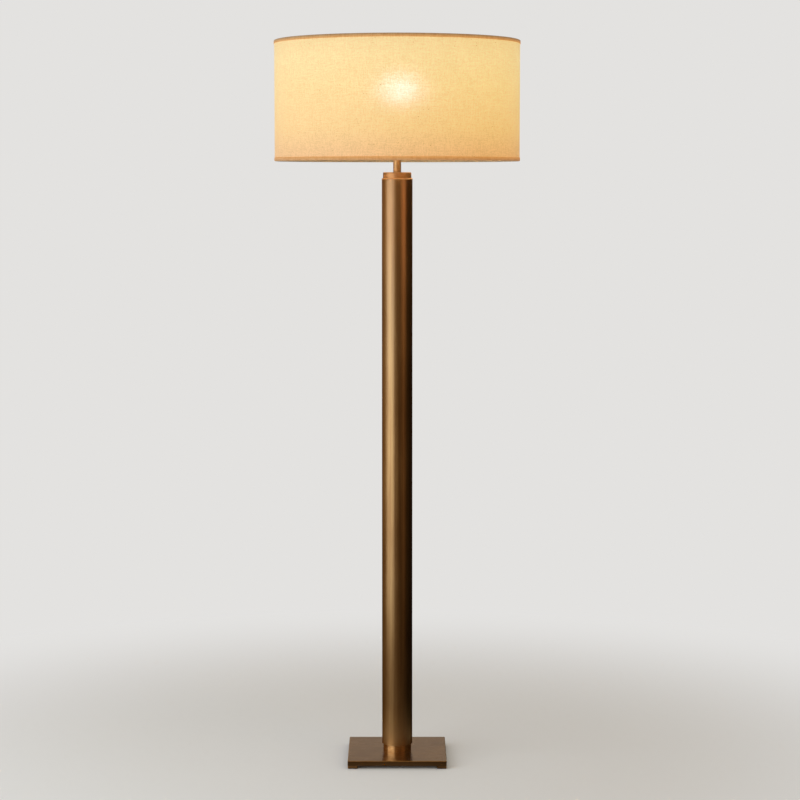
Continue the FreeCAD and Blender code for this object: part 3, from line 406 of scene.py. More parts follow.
def make_moulded(name, light, dark, roughness, grain_size=1500):
    """A moulded plastic with a fine grain and slow changes of tone."""
    plastic = Finish(name)
    x, y, z = plastic.place()
    grain = plastic.cloud(x * grain_size, y * grain_size, z * grain_size)
    tone = plastic.cloud(x * 60, y * 60, z * 60)
    inputs = {
        "Base Color": plastic.blend(plastic.between(tone, 0.3, 0.7), dark, light),
        "Roughness": roughness + (grain - 0.5) * 0.2,
        "Normal": plastic.bump(grain, 0.00004, 0.7),
    }
    return plastic.close(plastic.surface(inputs))


finish_node("pipe_end_bushing", make_moulded("black_nylon", (0.022, 0.021, 0.02), (0.012, 0.012, 0.011), 0.5))

# ---------------------------------------------------------------------------------------------------
# Column: a long drawn brass tube, brushed up and down by hand. Under the cap it carries a painted reflection
# of the shade's warm glow, towards the floor painted shade, and at the very foot a painted highlight; its top
# edge is rounded and painted bright as a highlight, and the lacquer lies thicker on its upper half. The ring,
# the cap and the neck are turned on a lathe instead.
# ---------------------------------------------------------------------------------------------------

# Painted light on the column: the shade's glow reflected under the cap, shade towards the floor, and the
# highlights at the foot and on the top edge.
COLUMN_GLOW_REFLECTION = (0.46, 0.21, 0.085)
COLUMN_FLOOR_SHADE = (0.19, 0.1, 0.036)
COLUMN_FOOT_HIGHLIGHT = (0.56, 0.33, 0.14)
COLUMN_EDGE_HIGHLIGHT = (0.85, 0.5, 0.25)
BRUSHED_RELIEF = 0.00002
EDGE_ROUNDING = 90
WORN_END = 0.0012
TOP_EDGE_FROM, TOP_EDGE_TO = 0.0035, 0.0002
LACQUER_FROM, LACQUER_TO = 0.7, 1.15
TURNED_RIM_FROM, TURNED_RIM_TO = 0.0026, 0.0004


def round_place(finish):
    """Place on a round piece: the angle round it from the back, metres from the axis, and height."""
    x, y, z = finish.place()
    angle = finish.node("ShaderNodeMath", {"operation": "ARCTAN2"}, {0: x, 1: y})
    return angle, finish.from_axis(x, y), z


def make_column_brass():
    """The top edge falls by EDGE_ROUNDING times the depth of the brushing."""
    brass = Finish("column_brass")
    x, y, z = brass.place()
    fine = brass.cloud(x * 2600, y * 2600, z * 11, 2.0)
    broad = brass.cloud(x * 190, y * 190, z * 2.2, 3.0)
    clouds = brass.cloud(x * 24, y * 24, z * 5, 4.0)
    low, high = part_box("column_tube")
    # Painted reflection of the shade's warm glow, under the cap.
    shade_glow_reflection = brass.between(z, high.z - 0.32, high.z - 0.02, 0.0, 0.3)
    # Painted shade, darker towards the floor.
    floor_shade = brass.between(z, low.z + 0.6, low.z, 0.0, 0.3)
    # Painted highlight at the very foot.
    foot_highlight = brass.between(z, low.z + 0.12, low.z, 0.0, 0.45)
    browner = brass.between(z, LACQUER_FROM, LACQUER_TO, 0.0, 0.14)
    ends = brass.between(z, low.z + WORN_END, low.z, 0.0, 0.8)
    ends = ends + brass.between(z, high.z - WORN_END, high.z, 0.0, 0.8)
    # The rounded top edge: painted bright as a highlight here, and bent in the bump below.
    rounded_highlit_edge = brass.between(z, high.z - TOP_EDGE_FROM, high.z - TOP_EDGE_TO)
    duller = brass.between(z, low.z + 0.4, low.z, 0.0, 0.02)
    tone = brass.between(broad * 0.5 + clouds * 0.5, 0.33, 0.67)
    colour = brass.blend(tone, AGED_BROWN, AGED_GOLD)
    changes = (
        (brass.between(fine, 0.52, 0.8, 0.0, 0.35), AGED_DEEP),
        (shade_glow_reflection, COLUMN_GLOW_REFLECTION),
        (floor_shade, COLUMN_FLOOR_SHADE),
        (foot_highlight, COLUMN_FOOT_HIGHLIGHT),
        (browner, AGED_DEEP),
        (ends, AGED_RUBBED),
        (rounded_highlit_edge, COLUMN_EDGE_HIGHLIGHT),
    )
    for share, towards in changes:
        colour = brass.blend(share, colour, towards)
    inputs = {
        "Base Color": colour,
        "Metallic": 1.0,
        "Roughness": 0.34 + (fine - 0.5) * 0.2 + (clouds - 0.5) * 0.12 + duller,
        "Specular Tint": GRAZING_TINT,
        "Coat Weight": brass.between(z, LACQUER_FROM, LACQUER_TO, 0.12, 0.5),
        "Coat Roughness": 0.2,
        "Normal": brass.bump(fine - rounded_highlit_edge * EDGE_ROUNDING, BRUSHED_RELIEF, 0.5),
    }
    return brass.close(brass.surface(inputs))


def make_turned_brass(name, node, tones=(AGED_BROWN, AGED_GOLD), roughness=0.3, turned=0.5):
    """Brass turned on a lathe: fine rings round the piece, rubbed where its upper edge catches hands."""
    brass = Finish(name)
    angle, radius, z = round_place(brass)
    fine = brass.cloud(angle * 2, radius * 5200, z * 5200, 2.0)
    broad = brass.cloud(angle * 1.5, radius * 500, z * 500, 2.0)
    clouds = brass.cloud(angle * 1.4, radius * 30, z * 30, 4.0)
    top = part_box(node)[1].z
    brightened = brass.between(z, top - TURNED_RIM_FROM, top - TURNED_RIM_TO, 0.0, 0.55)
    return aged_brass(brass, fine, broad, clouds, brightened, roughness, tones, turned=turned)


finish_node("column_tube", make_column_brass())
# Lighter copies of the aged tones, as painted light: the cap's and the neck's stand for the shade's warm
# light on them, the ring's for a stronger highlight.
RING_TONES_HIGHLIT = ((0.35, 0.18, 0.068), (0.58, 0.36, 0.165))
CAP_TONES_SHADE_LIT = ((0.48, 0.23, 0.09), (0.63, 0.335, 0.145))
NECK_TONES_SHADE_LIT = ((0.46, 0.24, 0.1), (0.6, 0.36, 0.165))
finish_node("base_ring", make_turned_brass("ring_brass", "base_ring", RING_TONES_HIGHLIT, 0.21, 0.78))
finish_node("top_cap", make_turned_brass("cap_brass_shade_lit", "top_cap", CAP_TONES_SHADE_LIT, 0.52, 0.35))
finish_node("neck_tube", make_turned_brass("neck_brass_shade_lit", "neck_tube", NECK_TONES_SHADE_LIT, 0.44, 0.3))
finish_node("neck_check_ring", make_turned_brass("check_ring_brass", "neck_check_ring"))

# ---------------------------------------------------------------------------------------------------
# Harp saddle, harp, ferrules, crown and stud, and the socket's cap and shell: steel strip, wire and sheet
# with a satin brass plating. It is even, a little brighter than the aged brass below, and dulled in patches.
# ---------------------------------------------------------------------------------------------------

PLATED = (0.66, 0.45, 0.2)
PLATED_DULL = (0.44, 0.29, 0.13)


def make_plated():
    plated = Finish("plated_brass")
    x, y, z = plated.place()
    grain = plated.cloud(x * 1900, y * 1900, z * 700, 3.0)
    dull = plated.cloud(x * 55, y * 55, z * 55, 4.0)
    inputs = {
        "Base Color": plated.blend(plated.between(dull, 0.35, 0.7), PLATED, PLATED_DULL),
        "Metallic": 1.0,
        "Roughness": 0.24 + grain * 0.12 + dull * 0.08,
        "Normal": plated.bump(grain, 0.00002, 0.6),
    }
    return plated.close(plated.surface(inputs))


PLATED_PIECES = (
    "harp_saddle", "harp", "harp_ferrule_left", "harp_ferrule_right",
    "harp_crown", "harp_stud", "socket_cap", "socket_shell",
)
plated_finish = make_plated()
for name in PLATED_PIECES:
    finish_node(name, plated_finish)

# ---------------------------------------------------------------------------------------------------
# Inside of the socket: a pressed-fibre liner, a dark moulded block, plain brass screws and contact, and the
# fluted black knob on its brass stem, which is the only part of the switch that a hand touches.
# ---------------------------------------------------------------------------------------------------

FIBRE_DARK = (0.2, 0.12, 0.06)
FIBRE_PALE = (0.36, 0.24, 0.13)
BRASS_BRIGHT = (0.72, 0.52, 0.24)
BRASS_TARNISHED = (0.42, 0.28, 0.12)


def make_fibre():
    fibre = Finish("pressed_fibre")
    angle, radius, z = round_place(fibre)
    strands = fibre.cloud(angle * 40, radius * 600, z * 900, 5.0)
    inputs = {
        "Base Color": fibre.blend(fibre.between(strands, 0.3, 0.7), FIBRE_DARK, FIBRE_PALE),
        "Roughness": 0.8,
        "Normal": fibre.bump(strands, 0.0001),
    }
    return fibre.close(fibre.surface(inputs))


def make_plain_brass():
    brass = Finish("plain_brass")
    x, y, z = brass.place()
    rings = brass.cloud(x * 1500, y * 1500, z * 1500)
    tarnish = brass.cloud(x * 120, y * 120, z * 120)
    inputs = {
        "Base Color": brass.blend(brass.between(tarnish, 0.4, 0.7), BRASS_BRIGHT, BRASS_TARNISHED),
        "Metallic": 1.0,
        "Roughness": 0.25 + rings * 0.2,
    }
    return brass.close(brass.surface(inputs))


finish_node("socket_liner", make_fibre())
finish_node("socket_insulator", make_moulded("phenolic", (0.045, 0.03, 0.022), (0.025, 0.017, 0.013), 0.4))
finish_node("switch_knob", make_moulded("knob_plastic", (0.02, 0.018, 0.016), (0.012, 0.011, 0.01), 0.28))
plain_brass = make_plain_brass()
for name in ("terminal_screws", "socket_contact", "switch_stem", "bulb_contact"):
    finish_node(name, plain_brass)

# ---------------------------------------------------------------------------------------------------
# Bulb screw cap and the socket's screw shell: thin aluminium rolled into the coarse round thread of a lamp.
# The plain solids are replaced by the rolled form, which the bulb shows when it is turned out.
# ---------------------------------------------------------------------------------------------------

THREAD_PITCH = 25.4e-3 / 7
THREAD_DEPTH = 0.0009
THREAD_RUNOUT = 0.003
THREAD_STEPS = 96
THREAD_ROWS_PER_PITCH = 12
SHEET_METAL = 0.0004
CAP_SHOULDER = 0.002
CAP_ROLLED_EDGE = 0.0005
CAP_FLOOR = 0.0006
CAP_HOLE = 0.001
SHELL_ROUNDING = 0.001
SHELL_TURN_IN = 0.0008
SHELL_HOLE = 0.0061
ALUMINIUM_BRIGHT = (0.74, 0.73, 0.71)
ALUMINIUM_DULL = (0.5, 0.49, 0.47)


def make_aluminium():
    metal = Finish("rolled_aluminium")
    angle, radius, z = round_place(metal)
    rub = metal.cloud(angle * 3, radius * 400, z * 1800, 3.0)
    inputs = {
        "Base Color": metal.blend(metal.between(rub, 0.3, 0.75), ALUMINIUM_BRIGHT, ALUMINIUM_DULL),
        "Metallic": 1.0,
        "Roughness": 0.22 + rub * 0.25,
        "Normal": metal.bump(rub, 0.00003),
    }
    return metal.close(metal.surface(inputs))


def rolled_wall(radius, low, high, from_low, from_high):
    """Rows of points for a wall with a rolled thread, which fades out at both ends."""
    count = max(2, round((high - low) / THREAD_PITCH * THREAD_ROWS_PER_PITCH))
    rows = []
    for row in range(count + 1):
        height = low + (high - low) * row / count
        fade = min(1.0, (height - low) / from_low, (high - height) / from_high)
        ring = []
        for step in range(THREAD_STEPS):
            angle = 2 * math.pi * step / THREAD_STEPS
            wave = 0.5 - 0.5 * math.cos(2 * math.pi * (height / THREAD_PITCH) - angle)
            distance = radius - THREAD_DEPTH * wave * fade
            ring.append((distance * math.cos(angle), distance * math.sin(angle), height))
        rows.append(ring)
    return rows


def plain_ring(radius, height):
    turn = 2 * math.pi / THREAD_STEPS
    return [
        (radius * math.cos(step * turn), radius * math.sin(step * turn), height)
        for step in range(THREAD_STEPS)
    ]


def rings_piece(name, rings):
    """A piece from rings of equally many points, each joined to the next and the last to the first."""
    size = len(rings[0])
    points = [point for ring in rings for point in ring]
    faces = [
        (a * size + i, a * size + (i + 1) % size, b * size + (i + 1) % size, b * size + i)
        for a, b in zip(range(len(rings)), [*range(1, len(rings)), 0])
        for i in range(size)
    ]
    return mesh_piece(name, points, faces)


aluminium = make_aluminium()

low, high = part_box("bulb_screw_cap")
cap_radius = high.x
shoulder_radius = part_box("bulb_insulator")[1].x
inner_radius = cap_radius - THREAD_DEPTH - SHEET_METAL
cap_rows = [
    plain_ring(shoulder_radius, low.z),
    *rolled_wall(cap_radius, low.z + CAP_SHOULDER, high.z - CAP_ROLLED_EDGE, THREAD_RUNOUT, THREAD_RUNOUT),
    plain_ring(cap_radius - SHEET_METAL, high.z),
    plain_ring(inner_radius, high.z),
    plain_ring(inner_radius, low.z + CAP_SHOULDER),
    plain_ring(shoulder_radius - SHEET_METAL, low.z + CAP_FLOOR),
    plain_ring(CAP_HOLE, low.z + CAP_FLOOR),
    plain_ring(CAP_HOLE, low.z),
]
bulb_cap = rings_piece("bulb_screw_cap_rolled", cap_rows)
bulb_cap.data.materials.append(aluminium)
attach(bulb_cap, "bulb")
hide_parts("bulb_screw_cap")

low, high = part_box("socket_screw_shell")
wall_rows = rolled_wall(high.x, low.z + SHELL_ROUNDING, high.z, THREAD_RUNOUT, THREAD_RUNOUT / 2)
inward = 1 - SHEET_METAL / high.x
inside_rows = [[(x * inward, y * inward, z) for x, y, z in row] for row in reversed(wall_rows)]
floor_radius = high.x - SHELL_TURN_IN
shell_rows = [
    plain_ring(SHELL_HOLE, low.z),
    plain_ring(floor_radius, low.z),
    *wall_rows,
    *inside_rows,
    plain_ring(floor_radius - SHEET_METAL, low.z + SHEET_METAL),
    plain_ring(SHELL_HOLE, low.z + SHEET_METAL),
]
screw_shell = rings_piece("socket_screw_shell_rolled", shell_rows)
screw_shell.data.materials.append(aluminium)
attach(screw_shell, "stand")
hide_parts("socket_screw_shell")

# ---------------------------------------------------------------------------------------------------
# Bulb: black glass round the contact, a white plastic housing and an opal globe, lit. The light comes from a
# lamp inside the globe, a little right of its middle and below it, where the photograph has its brightest
# spot. The globe and the shade's backing let it through.
# ---------------------------------------------------------------------------------------------------

BULB_WATTS = 3.0
BULB_COLOUR = (1.0, 0.78, 0.54)
GLOBE_GLOW = (0.46, 0.4, 0.31)
GLOBE_FOOT_GLOW = (0.38, 0.29, 0.19)
FOOT_GLOW_FROM, FOOT_GLOW_TO = -0.01, 0.03
OPAL_TONES = ((0.86, 0.84, 0.8), (0.9, 0.88, 0.84))
LIGHT_RADIUS = 0.022
LIGHT_OFF_CENTRE = (0.0055, 0.0, -0.005)


def make_globe():
    opal = Finish("opal_globe")
    x, y, z = opal.place()
    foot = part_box("bulb_globe")[0].z
    height = opal.between(z, foot + FOOT_GLOW_FROM, foot + FOOT_GLOW_TO)
    mottle = opal.cloud(x * 50, y * 50, z * 50)
    inputs = {
        "Base Color": opal.blend(mottle, *OPAL_TONES),
        "Roughness": 0.3 + mottle * 0.1,
        "Emission Color": opal.blend(height, GLOBE_FOOT_GLOW, GLOBE_GLOW),
        "Emission Strength": 1.0,
    }
    return opal.close(opal.surface(inputs))


finish_node("bulb_insulator", make_moulded("black_glass", (0.02, 0.02, 0.022), (0.012, 0.012, 0.013), 0.12))
finish_node("bulb_housing", make_moulded("white_housing", (0.8, 0.79, 0.76), (0.74, 0.73, 0.7), 0.35))
finish_node("bulb_globe", make_globe())
nodes["bulb_globe"].visible_shadow = False
nodes["bulb_globe"].visible_transmission = False

low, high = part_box("bulb_globe")
globe_middle = Vector((0, 0, high.z - (high.x - low.x) / 2))
bulb_light = bpy.data.objects.new("bulb_light", bpy.data.lights.new("bulb_light", "POINT"))
bulb_light.data.energy = BULB_WATTS
bulb_light.data.color = BULB_COLOUR
bulb_light.data.shadow_soft_size = LIGHT_RADIUS
bulb_light.location = globe_middle + Vector(LIGHT_OFF_CENTRE)
bpy.context.scene.collection.objects.link(bulb_light)
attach(bulb_light, "bulb")

# ---------------------------------------------------------------------------------------------------
# Spider and wire rings: steel wire welded together and dipped in a warm white paint, which pools a little
# and leaves the finest orange peel.
# ---------------------------------------------------------------------------------------------------

PAINTED_PIECES = (
    "spider_hub", "spider_arm_rear", "spider_arm_left", "spider_arm_right",
    "shade_top_wire", "shade_bottom_wire",
)
white_paint = make_moulded("white_paint", (0.78, 0.75, 0.69), (0.7, 0.67, 0.6), 0.38, 900)
for name in PAINTED_PIECES:
    finish_node(name, white_paint)

# ---------------------------------------------------------------------------------------------------
# Drum: natural linen of uneven yarn, laminated to a translucent film and rolled round the two wire rings,
# with its vertical lap at the back. Lit from inside it glows, brightest in its upper half, and the bulb
# shows through it as a soft spot.
# ---------------------------------------------------------------------------------------------------

LAP = 0.010
LAP_RISE = 0.0006
LAP_SUNK = 0.0003
LAP_EDGE = 0.0003
YARN_PITCH = 0.00062
LINEN_PALE = (0.44, 0.37, 0.29)
LINEN_TAN = (0.35, 0.282, 0.2)
LINEN_FLECK = (0.2, 0.11, 0.05)
# The glow from the lower rim, at 0, to the upper one, at 1.
GLOW_BY_HEIGHT = [
    (0.0, (0.52, 0.22, 0.022)),
    (0.25, (0.63, 0.367, 0.075)),
    (0.6, (0.685, 0.464, 0.14)),
    (0.85, (0.69, 0.494, 0.178)),
    (1.0, (0.64, 0.444, 0.152)),
]
# How much of the glow's red, green and blue a thick place and the lap hold back.
FULL_GLOW = 1.1
THICK_HIDES = (0.2, 0.21, 0.38)
LAP_HIDES = (0.2, 0.34, 0.5)
# The share of the bulb's own light that a thin and a thick place let through, and how it comes out.
THROUGH_THIN, THROUGH_THICK = 0.019, 0.008
THROUGH_COLOUR = (0.34, 0.53, 1.0, 1.0)
THROUGH_ROUGHNESS = 0.66
THROUGH_IOR = 1.35

drum_low, drum_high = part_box("shade_linen")
DRUM_RADIUS = (drum_high.x - drum_low.x) / 2


def weave(cloth, around, up):
    """Plain weave of uneven yarn: its relief, and how thick the yarn is there, both from 0 to 1."""
    turns = {"operation": "SINE"}
    full = 2 * math.pi / YARN_PITCH
    drift = cloth.cloud(around * 90, up * 90, 0.0) * 2.2
    upright = cloth.node("ShaderNodeMath", turns, {0: around * full + drift}) * 0.5 + 0.5
    level = cloth.node("ShaderNodeMath", turns, {0: up * full + drift}) * 0.5 + 0.5
    relief = upright * 0.5 + level * 0.5
    upright_slubs = cloth.cloud(around * 430, up * 60, 1.7, 2.0)
    level_slubs = cloth.cloud(around * 60, up * 430, 5.3, 2.0)
    slubs = upright_slubs * 0.5 + level_slubs * 0.5
    return relief, slubs


def linen_place(cloth):
    """Metres round the drum from its lap, and height."""
    angle, _, z = round_place(cloth)
    return angle * DRUM_RADIUS, z


def make_linen():
    linen = Finish("linen")
    around, up = linen_place(linen)
    relief, slubs = weave(linen, around, up)
    grain = linen.cloud(around * 360, up * 360, 2.2, 3.0)
    thick = linen.between(slubs * 0.55 + grain * 0.45, 0.38, 0.62)
    patches = linen.cloud(around * 14, up * 14, 3.1, 3.0)
    level_flecks = linen.between(linen.spots(around * 90, up * 210, 0.5), 0.16, 0.08)
    upright_flecks = linen.between(linen.spots(around * 230, up * 100, 7.5), 0.15, 0.08)
    rare = linen.between(linen.cloud(around * 55, up * 55, 9.0), 0.56, 0.62)
    fleck = (level_flecks + upright_flecks) * rare
    colour = linen.blend(thick * 0.5 + patches * 0.3, LINEN_PALE, LINEN_TAN)
    colour = linen.blend(fleck, colour, LINEN_FLECK)
    doubled = linen.between(around, -LAP, -LAP + LAP_EDGE) * linen.between(around, LAP_EDGE, 0.0)
    dark = patches * 0.06 + fleck * 0.3
    hides = zip(THICK_HIDES, LAP_HIDES)
    strength = [FULL_GLOW - thick * by_yarn - dark - doubled * by_lap for by_yarn, by_lap in hides]
    span = {"From Min": drum_low.z, "From Max": drum_high.z}
    height = linen.node("ShaderNodeMapRange", {}, {"Value": up, **span})
    glow = linen.node("ShaderNodeValToRGB", {"stops": GLOW_BY_HEIGHT}, {0: height})
    lit = linen.blend(1.0, glow, linen.vector(*strength), "MULTIPLY")
    inputs = {
        "Base Color": colour,
        "Roughness": 0.85,
        "Sheen Weight": 0.25,
        "Sheen Roughness": 0.35,
        "Emission Color": lit,
        "Emission Strength": 1.0,
        "Normal": linen.bump(relief * 0.6 + slubs * 0.4, 0.00018, 0.6),
    }
    cloth = linen.surface(inputs)
    way = {"Color": THROUGH_COLOUR, "Roughness": THROUGH_ROUGHNESS, "IOR": THROUGH_IOR}
    through = linen.node("ShaderNodeBsdfRefraction", {"distribution": "BECKMANN"}, way)
    share = linen.between(thick, 0.0, 1.0, THROUGH_THIN, THROUGH_THICK) * (1 - doubled * 0.6)
    return linen.close(linen.node("ShaderNodeMixShader", {}, {0: share, 1: cloth, 2: through}))


FILM_PALE = (0.84, 0.76, 0.6)
FILM_YELLOWED = (0.76, 0.67, 0.5)


def make_backing():
    film = Finish("backing_film")
    around, up = linen_place(film)
    relief, slubs = weave(film, around, up)
    inputs = {
        "Base Color": film.blend(film.between(slubs, 0.4, 0.62), FILM_PALE, FILM_YELLOWED),
        "Roughness": 0.6,
        "Normal": film.bump(relief, 0.0001, 0.4),
    }
    return film.close(film.surface(inputs))


DRUM_CUTS = 384
DRUM_ROWS = 24
DRUM_WAVE = 0.00012
WAVES_ROUND, WAVES_PER_METRE_UP = 3, 12


def drum_linen():
    """The sheet from its edge at the back right round to the lap that covers it."""
    lap_turn = LAP / DRUM_RADIUS
    whole_turn = 2 * math.pi
    columns = [
        (0.0, DRUM_RADIUS - LAP_SUNK),
        (lap_turn, DRUM_RADIUS - LAP_SUNK),
        (lap_turn * 1.15, DRUM_RADIUS),
    ]
    for step in range(1, DRUM_CUTS):
        turn = whole_turn * step / DRUM_CUTS
        if turn > lap_turn * 1.2:
            columns.append((turn, DRUM_RADIUS))
    columns.append((whole_turn, DRUM_RADIUS))
    columns.append((whole_turn + lap_turn * 0.1, DRUM_RADIUS + LAP_RISE))
    columns.append((whole_turn + lap_turn, DRUM_RADIUS + LAP_RISE))
    points = []
    for turn, radius in columns:
        for row in range(DRUM_ROWS + 1):
            height = drum_low.z + (drum_high.z - drum_low.z) * row / DRUM_ROWS
            place = Vector((turn * WAVES_ROUND, height * WAVES_PER_METRE_UP, 0.3))
            distance = radius + DRUM_WAVE * noise(place)
            points.append((-distance * math.sin(turn), distance * math.cos(turn), height))
    rows = DRUM_ROWS + 1
    faces = [
        (a * rows + i, (a + 1) * rows + i, (a + 1) * rows + i + 1, a * rows + i + 1)
        for a in range(len(columns) - 1)
        for i in range(DRUM_ROWS)
    ]
    return mesh_piece("linen_drum", points, faces)


linen = drum_linen()
linen.data.materials.append(make_linen())
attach(linen, "shade")
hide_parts("shade_linen")
finish_node("shade_backing", make_backing())
nodes["shade_backing"].visible_shadow = False
nodes["shade_backing"].visible_transmission = False

# ---------------------------------------------------------------------------------------------------
# Trims: strips of the same linen folded over each rim and its wire, and glued down inside and out. Doubled
# cloth lets little light through, so they are browner than the drum, with a soft, not quite even edge.
# ---------------------------------------------------------------------------------------------------

TRIM_CUTS = 480
TRIM_DROP = 0.0082
TRIM_CLOTH = 0.00085
TRIM_PALE = (0.42, 0.3, 0.15)
TRIM_BROWN = (0.34, 0.22, 0.1)
EDGE_GLOW = (0.75, 0.26, 0.025)
OUTSIDE_FROM, OUTSIDE_TO = 0.0015, 0.0005
TOP_RIM_GLOW = (0.1, 0.025, 0.001)
BOTTOM_RIM_GLOW = (0.32, 0.085, 0.004)
FOLD_OVER_WIRE = 0.0067
FOLD_STEPS = 12
FOLD_CREST, FOLD_BULGE = 0.62, 0.38
SKIN_GAP = 0.00005
# Slow wander of the edge and the skin, and the quicker ripple of edge and thickness.
EDGE_WANDER, EDGE_RIPPLE = 0.00025, 0.0001
SKIN_WANDER = 0.00008
THICKNESS_RIPPLE = 0.00006
WANDER_LUMPS, RIPPLE_LUMPS = 7, 40
# The notch over an arm: half its width, how far its sides run out, and the stub and tuck that it leaves.
NOTCH_HALF = 0.0020
NOTCH_RUNOUT = 0.0015
NOTCH_STUB = 0.0019
NOTCH_TUCK = 0.0001


def make_trim_cloth(name, rim, inner_edge, rim_glow):
    """Doubled linen: outside, light comes through it, most of it along the edge on the drum."""
    cloth = Finish(name)
    around, up = linen_place(cloth)
    radius = round_place(cloth)[1]
    outside = cloth.between(radius, DRUM_RADIUS - OUTSIDE_FROM, DRUM_RADIUS - OUTSIDE_TO)
    relief, slubs = weave(cloth, around, up)
    thick = cloth.between(slubs, 0.4, 0.62)
    colour = cloth.blend(thick, TRIM_PALE, TRIM_BROWN)
    lit = cloth.between(up, rim, inner_edge)
    glow = cloth.blend(lit, rim_glow, EDGE_GLOW)
    inputs = {
        "Base Color": colour,
        "Roughness": 0.85,
        "Sheen Weight": 0.15,
        "Emission Color": cloth.blend(outside, (0.0, 0.0, 0.0), glow),
        "Emission Strength": 0.6,
        "Normal": cloth.bump(relief * 0.6 + slubs * 0.4, 0.0002, 0.8),
    }
    return cloth.close(cloth.surface(inputs))


def trim_section(outer, inner, drop, cloth, bulge):
    """The folded strip in section, from the rim: down the outside, over the fold, and down the inside."""
    fold = (outer - inner) / 2
    middle = (outer + inner) / 2
    under = fold - cloth
    rise = fold * (FOLD_CREST + FOLD_BULGE * bulge)
    outside = [(outer, -drop)]
    inside = [(outer - cloth, -drop)]
    for step in range(FOLD_STEPS + 1):
        angle = math.pi * step / FOLD_STEPS
        outside.append((middle + fold * math.cos(angle), rise * math.sin(angle) - rise))
        inside.append((middle + under * math.cos(angle), (rise - cloth) * math.sin(angle) - rise))
    return outside, inside


def trim_strip(name, node, points_up, arm_turns):
    """One trim, with the inner leg cut short over the spider's arms."""
    low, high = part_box(node)
    outer = (high.x - low.x) / 2 - SKIN_GAP
    inner = outer - FOLD_OVER_WIRE
    rim, upward = (high.z, 1) if points_up else (low.z, -1)
    rings = []
    for cut in range(TRIM_CUTS):
        turn = 2 * math.pi * cut / TRIM_CUTS
        wander = noise(Vector((math.cos(turn) * WANDER_LUMPS, math.sin(turn) * WANDER_LUMPS, rim)))
        ripple = noise(Vector((math.cos(turn) * RIPPLE_LUMPS, math.sin(turn) * RIPPLE_LUMPS, rim)))
        drop = TRIM_DROP + EDGE_WANDER * wander + EDGE_RIPPLE * ripple
        thick = TRIM_CLOTH + THICKNESS_RIPPLE * ripple
        skin = outer - SKIN_WANDER * (1 + wander)
        outside, inside = trim_section(skin, inner, drop, thick, ripple * 0.3)
        from_arms = [abs((turn - arm + math.pi) % (2 * math.pi) - math.pi) * outer for arm in arm_turns]
        past_notch = min(from_arms, default=1.0) - NOTCH_HALF
        cut_short = min(1.0, max(0.0, 1 - past_notch / NOTCH_RUNOUT))
        leg = -drop * (1 - cut_short) - NOTCH_STUB * cut_short
        outside.append((inner, leg if cut_short < 1 else outside[-1][1] - NOTCH_TUCK))
        inside.append((inner + thick, leg if cut_short < 1 else inside[-1][1] - NOTCH_TUCK))
        rings.append([
            (-across * math.sin(turn), across * math.cos(turn), rim + upward * up)
            for across, up in outside + inside[::-1]
        ])
    return rings_piece(name, rings)


ARM_TURNS = (0.0, 2 * math.pi / 3, 4 * math.pi / 3)
TRIMS = (
    ("top", True, ARM_TURNS, TOP_RIM_GLOW),
    ("bottom", False, (), BOTTOM_RIM_GLOW),
)
for rim_name, points_up, arms, glow in TRIMS:
    node = f"shade_{rim_name}_trim"
    low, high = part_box(node)
    strip = trim_strip(f"linen_trim_{rim_name}", node, points_up, arms)
    rim, edge = (high.z, low.z) if points_up else (low.z, high.z)
    strip.data.materials.append(make_trim_cloth(f"trim_linen_{rim_name}", rim, edge, glow))
    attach(strip, "shade")
    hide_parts(node)

# ---------------------------------------------------------------------------------------------------
# Finial: a small turned brass knob that screws down on the stud and clamps the spider's hub. It has the
# column's aged tone, rubbed bright at the rim by the fingers that turn it.
# ---------------------------------------------------------------------------------------------------

finish_node("finial", make_turned_brass("finial_brass", "finial"))

# ---------------------------------------------------------------------------------------------------
# Studio: a pale floor that runs into a pale background, which metal sees as a dim warm room on most sides. A
# large cool light at the front left draws the bright stripe down the column, and two small warm ones at the
# right soften its dark side. The fill from all round is cooler on the left than on the right.
# ---------------------------------------------------------------------------------------------------

BACKDROP = (0.77, 0.76, 0.745)
ROOM_BY_SIDE = [
    (0.0, (0.62, 0.43, 0.225)),
    (0.42, (0.48, 0.313, 0.153)),
    (0.55, (0.38, 0.248, 0.12)),
    (0.75, (0.22, 0.145, 0.073)),
    (0.95, (0.125, 0.082, 0.042)),
]
FLOOR_COLOUR = (0.84, 0.83, 0.81)
FILL = 0.58
FILL_BY_SIDE = [
    (0.0, (1.0, 0.95, 1.0)),
    (0.5, (1.0, 0.985, 0.96)),
    (1.0, (0.94, 0.9, 0.7)),
]
ROOM_LEAN = 0.125
BEHIND_FROM, BEHIND_TO = 0.96, 0.998
FLOOR_HALF = 40.0
# Metres from the lamp between which the floor turns into the backdrop, as seen straight and in metal.
SEAMLESS_IN_VIEW = (0.45, 1.8)
SEAMLESS_IN_METAL = (0.06, 0.34)
# Metal sees the floor dimmed towards the right, and near the lamp on the left as well.
DIM_TO_RIGHT, DIM_IN_FRONT = 0.45, 0.5
DIM_NEAR = 0.28
FAR_FLOOR, NEAR_FLOOR = 5.0, 0.8

scene_world = bpy.data.worlds.new("studio")
scene_world.use_nodes = True
bpy.context.scene.world = scene_world
sky = Finish("studio", scene_world.node_tree)


def light_path(finish, kind):
    return finish.node("ShaderNodeLightPath", {}, {}, kind)


def mirrored(finish):
    """1 for what is seen in metal and glass."""
    return light_path(finish, "Is Glossy Ray") + light_path(finish, "Is Transmission Ray")


def seen(finish):
    """1 for what is seen, straight or in metal and glass, and 0 for light on its way."""
    return light_path(finish, "Is Camera Ray") + mirrored(finish)


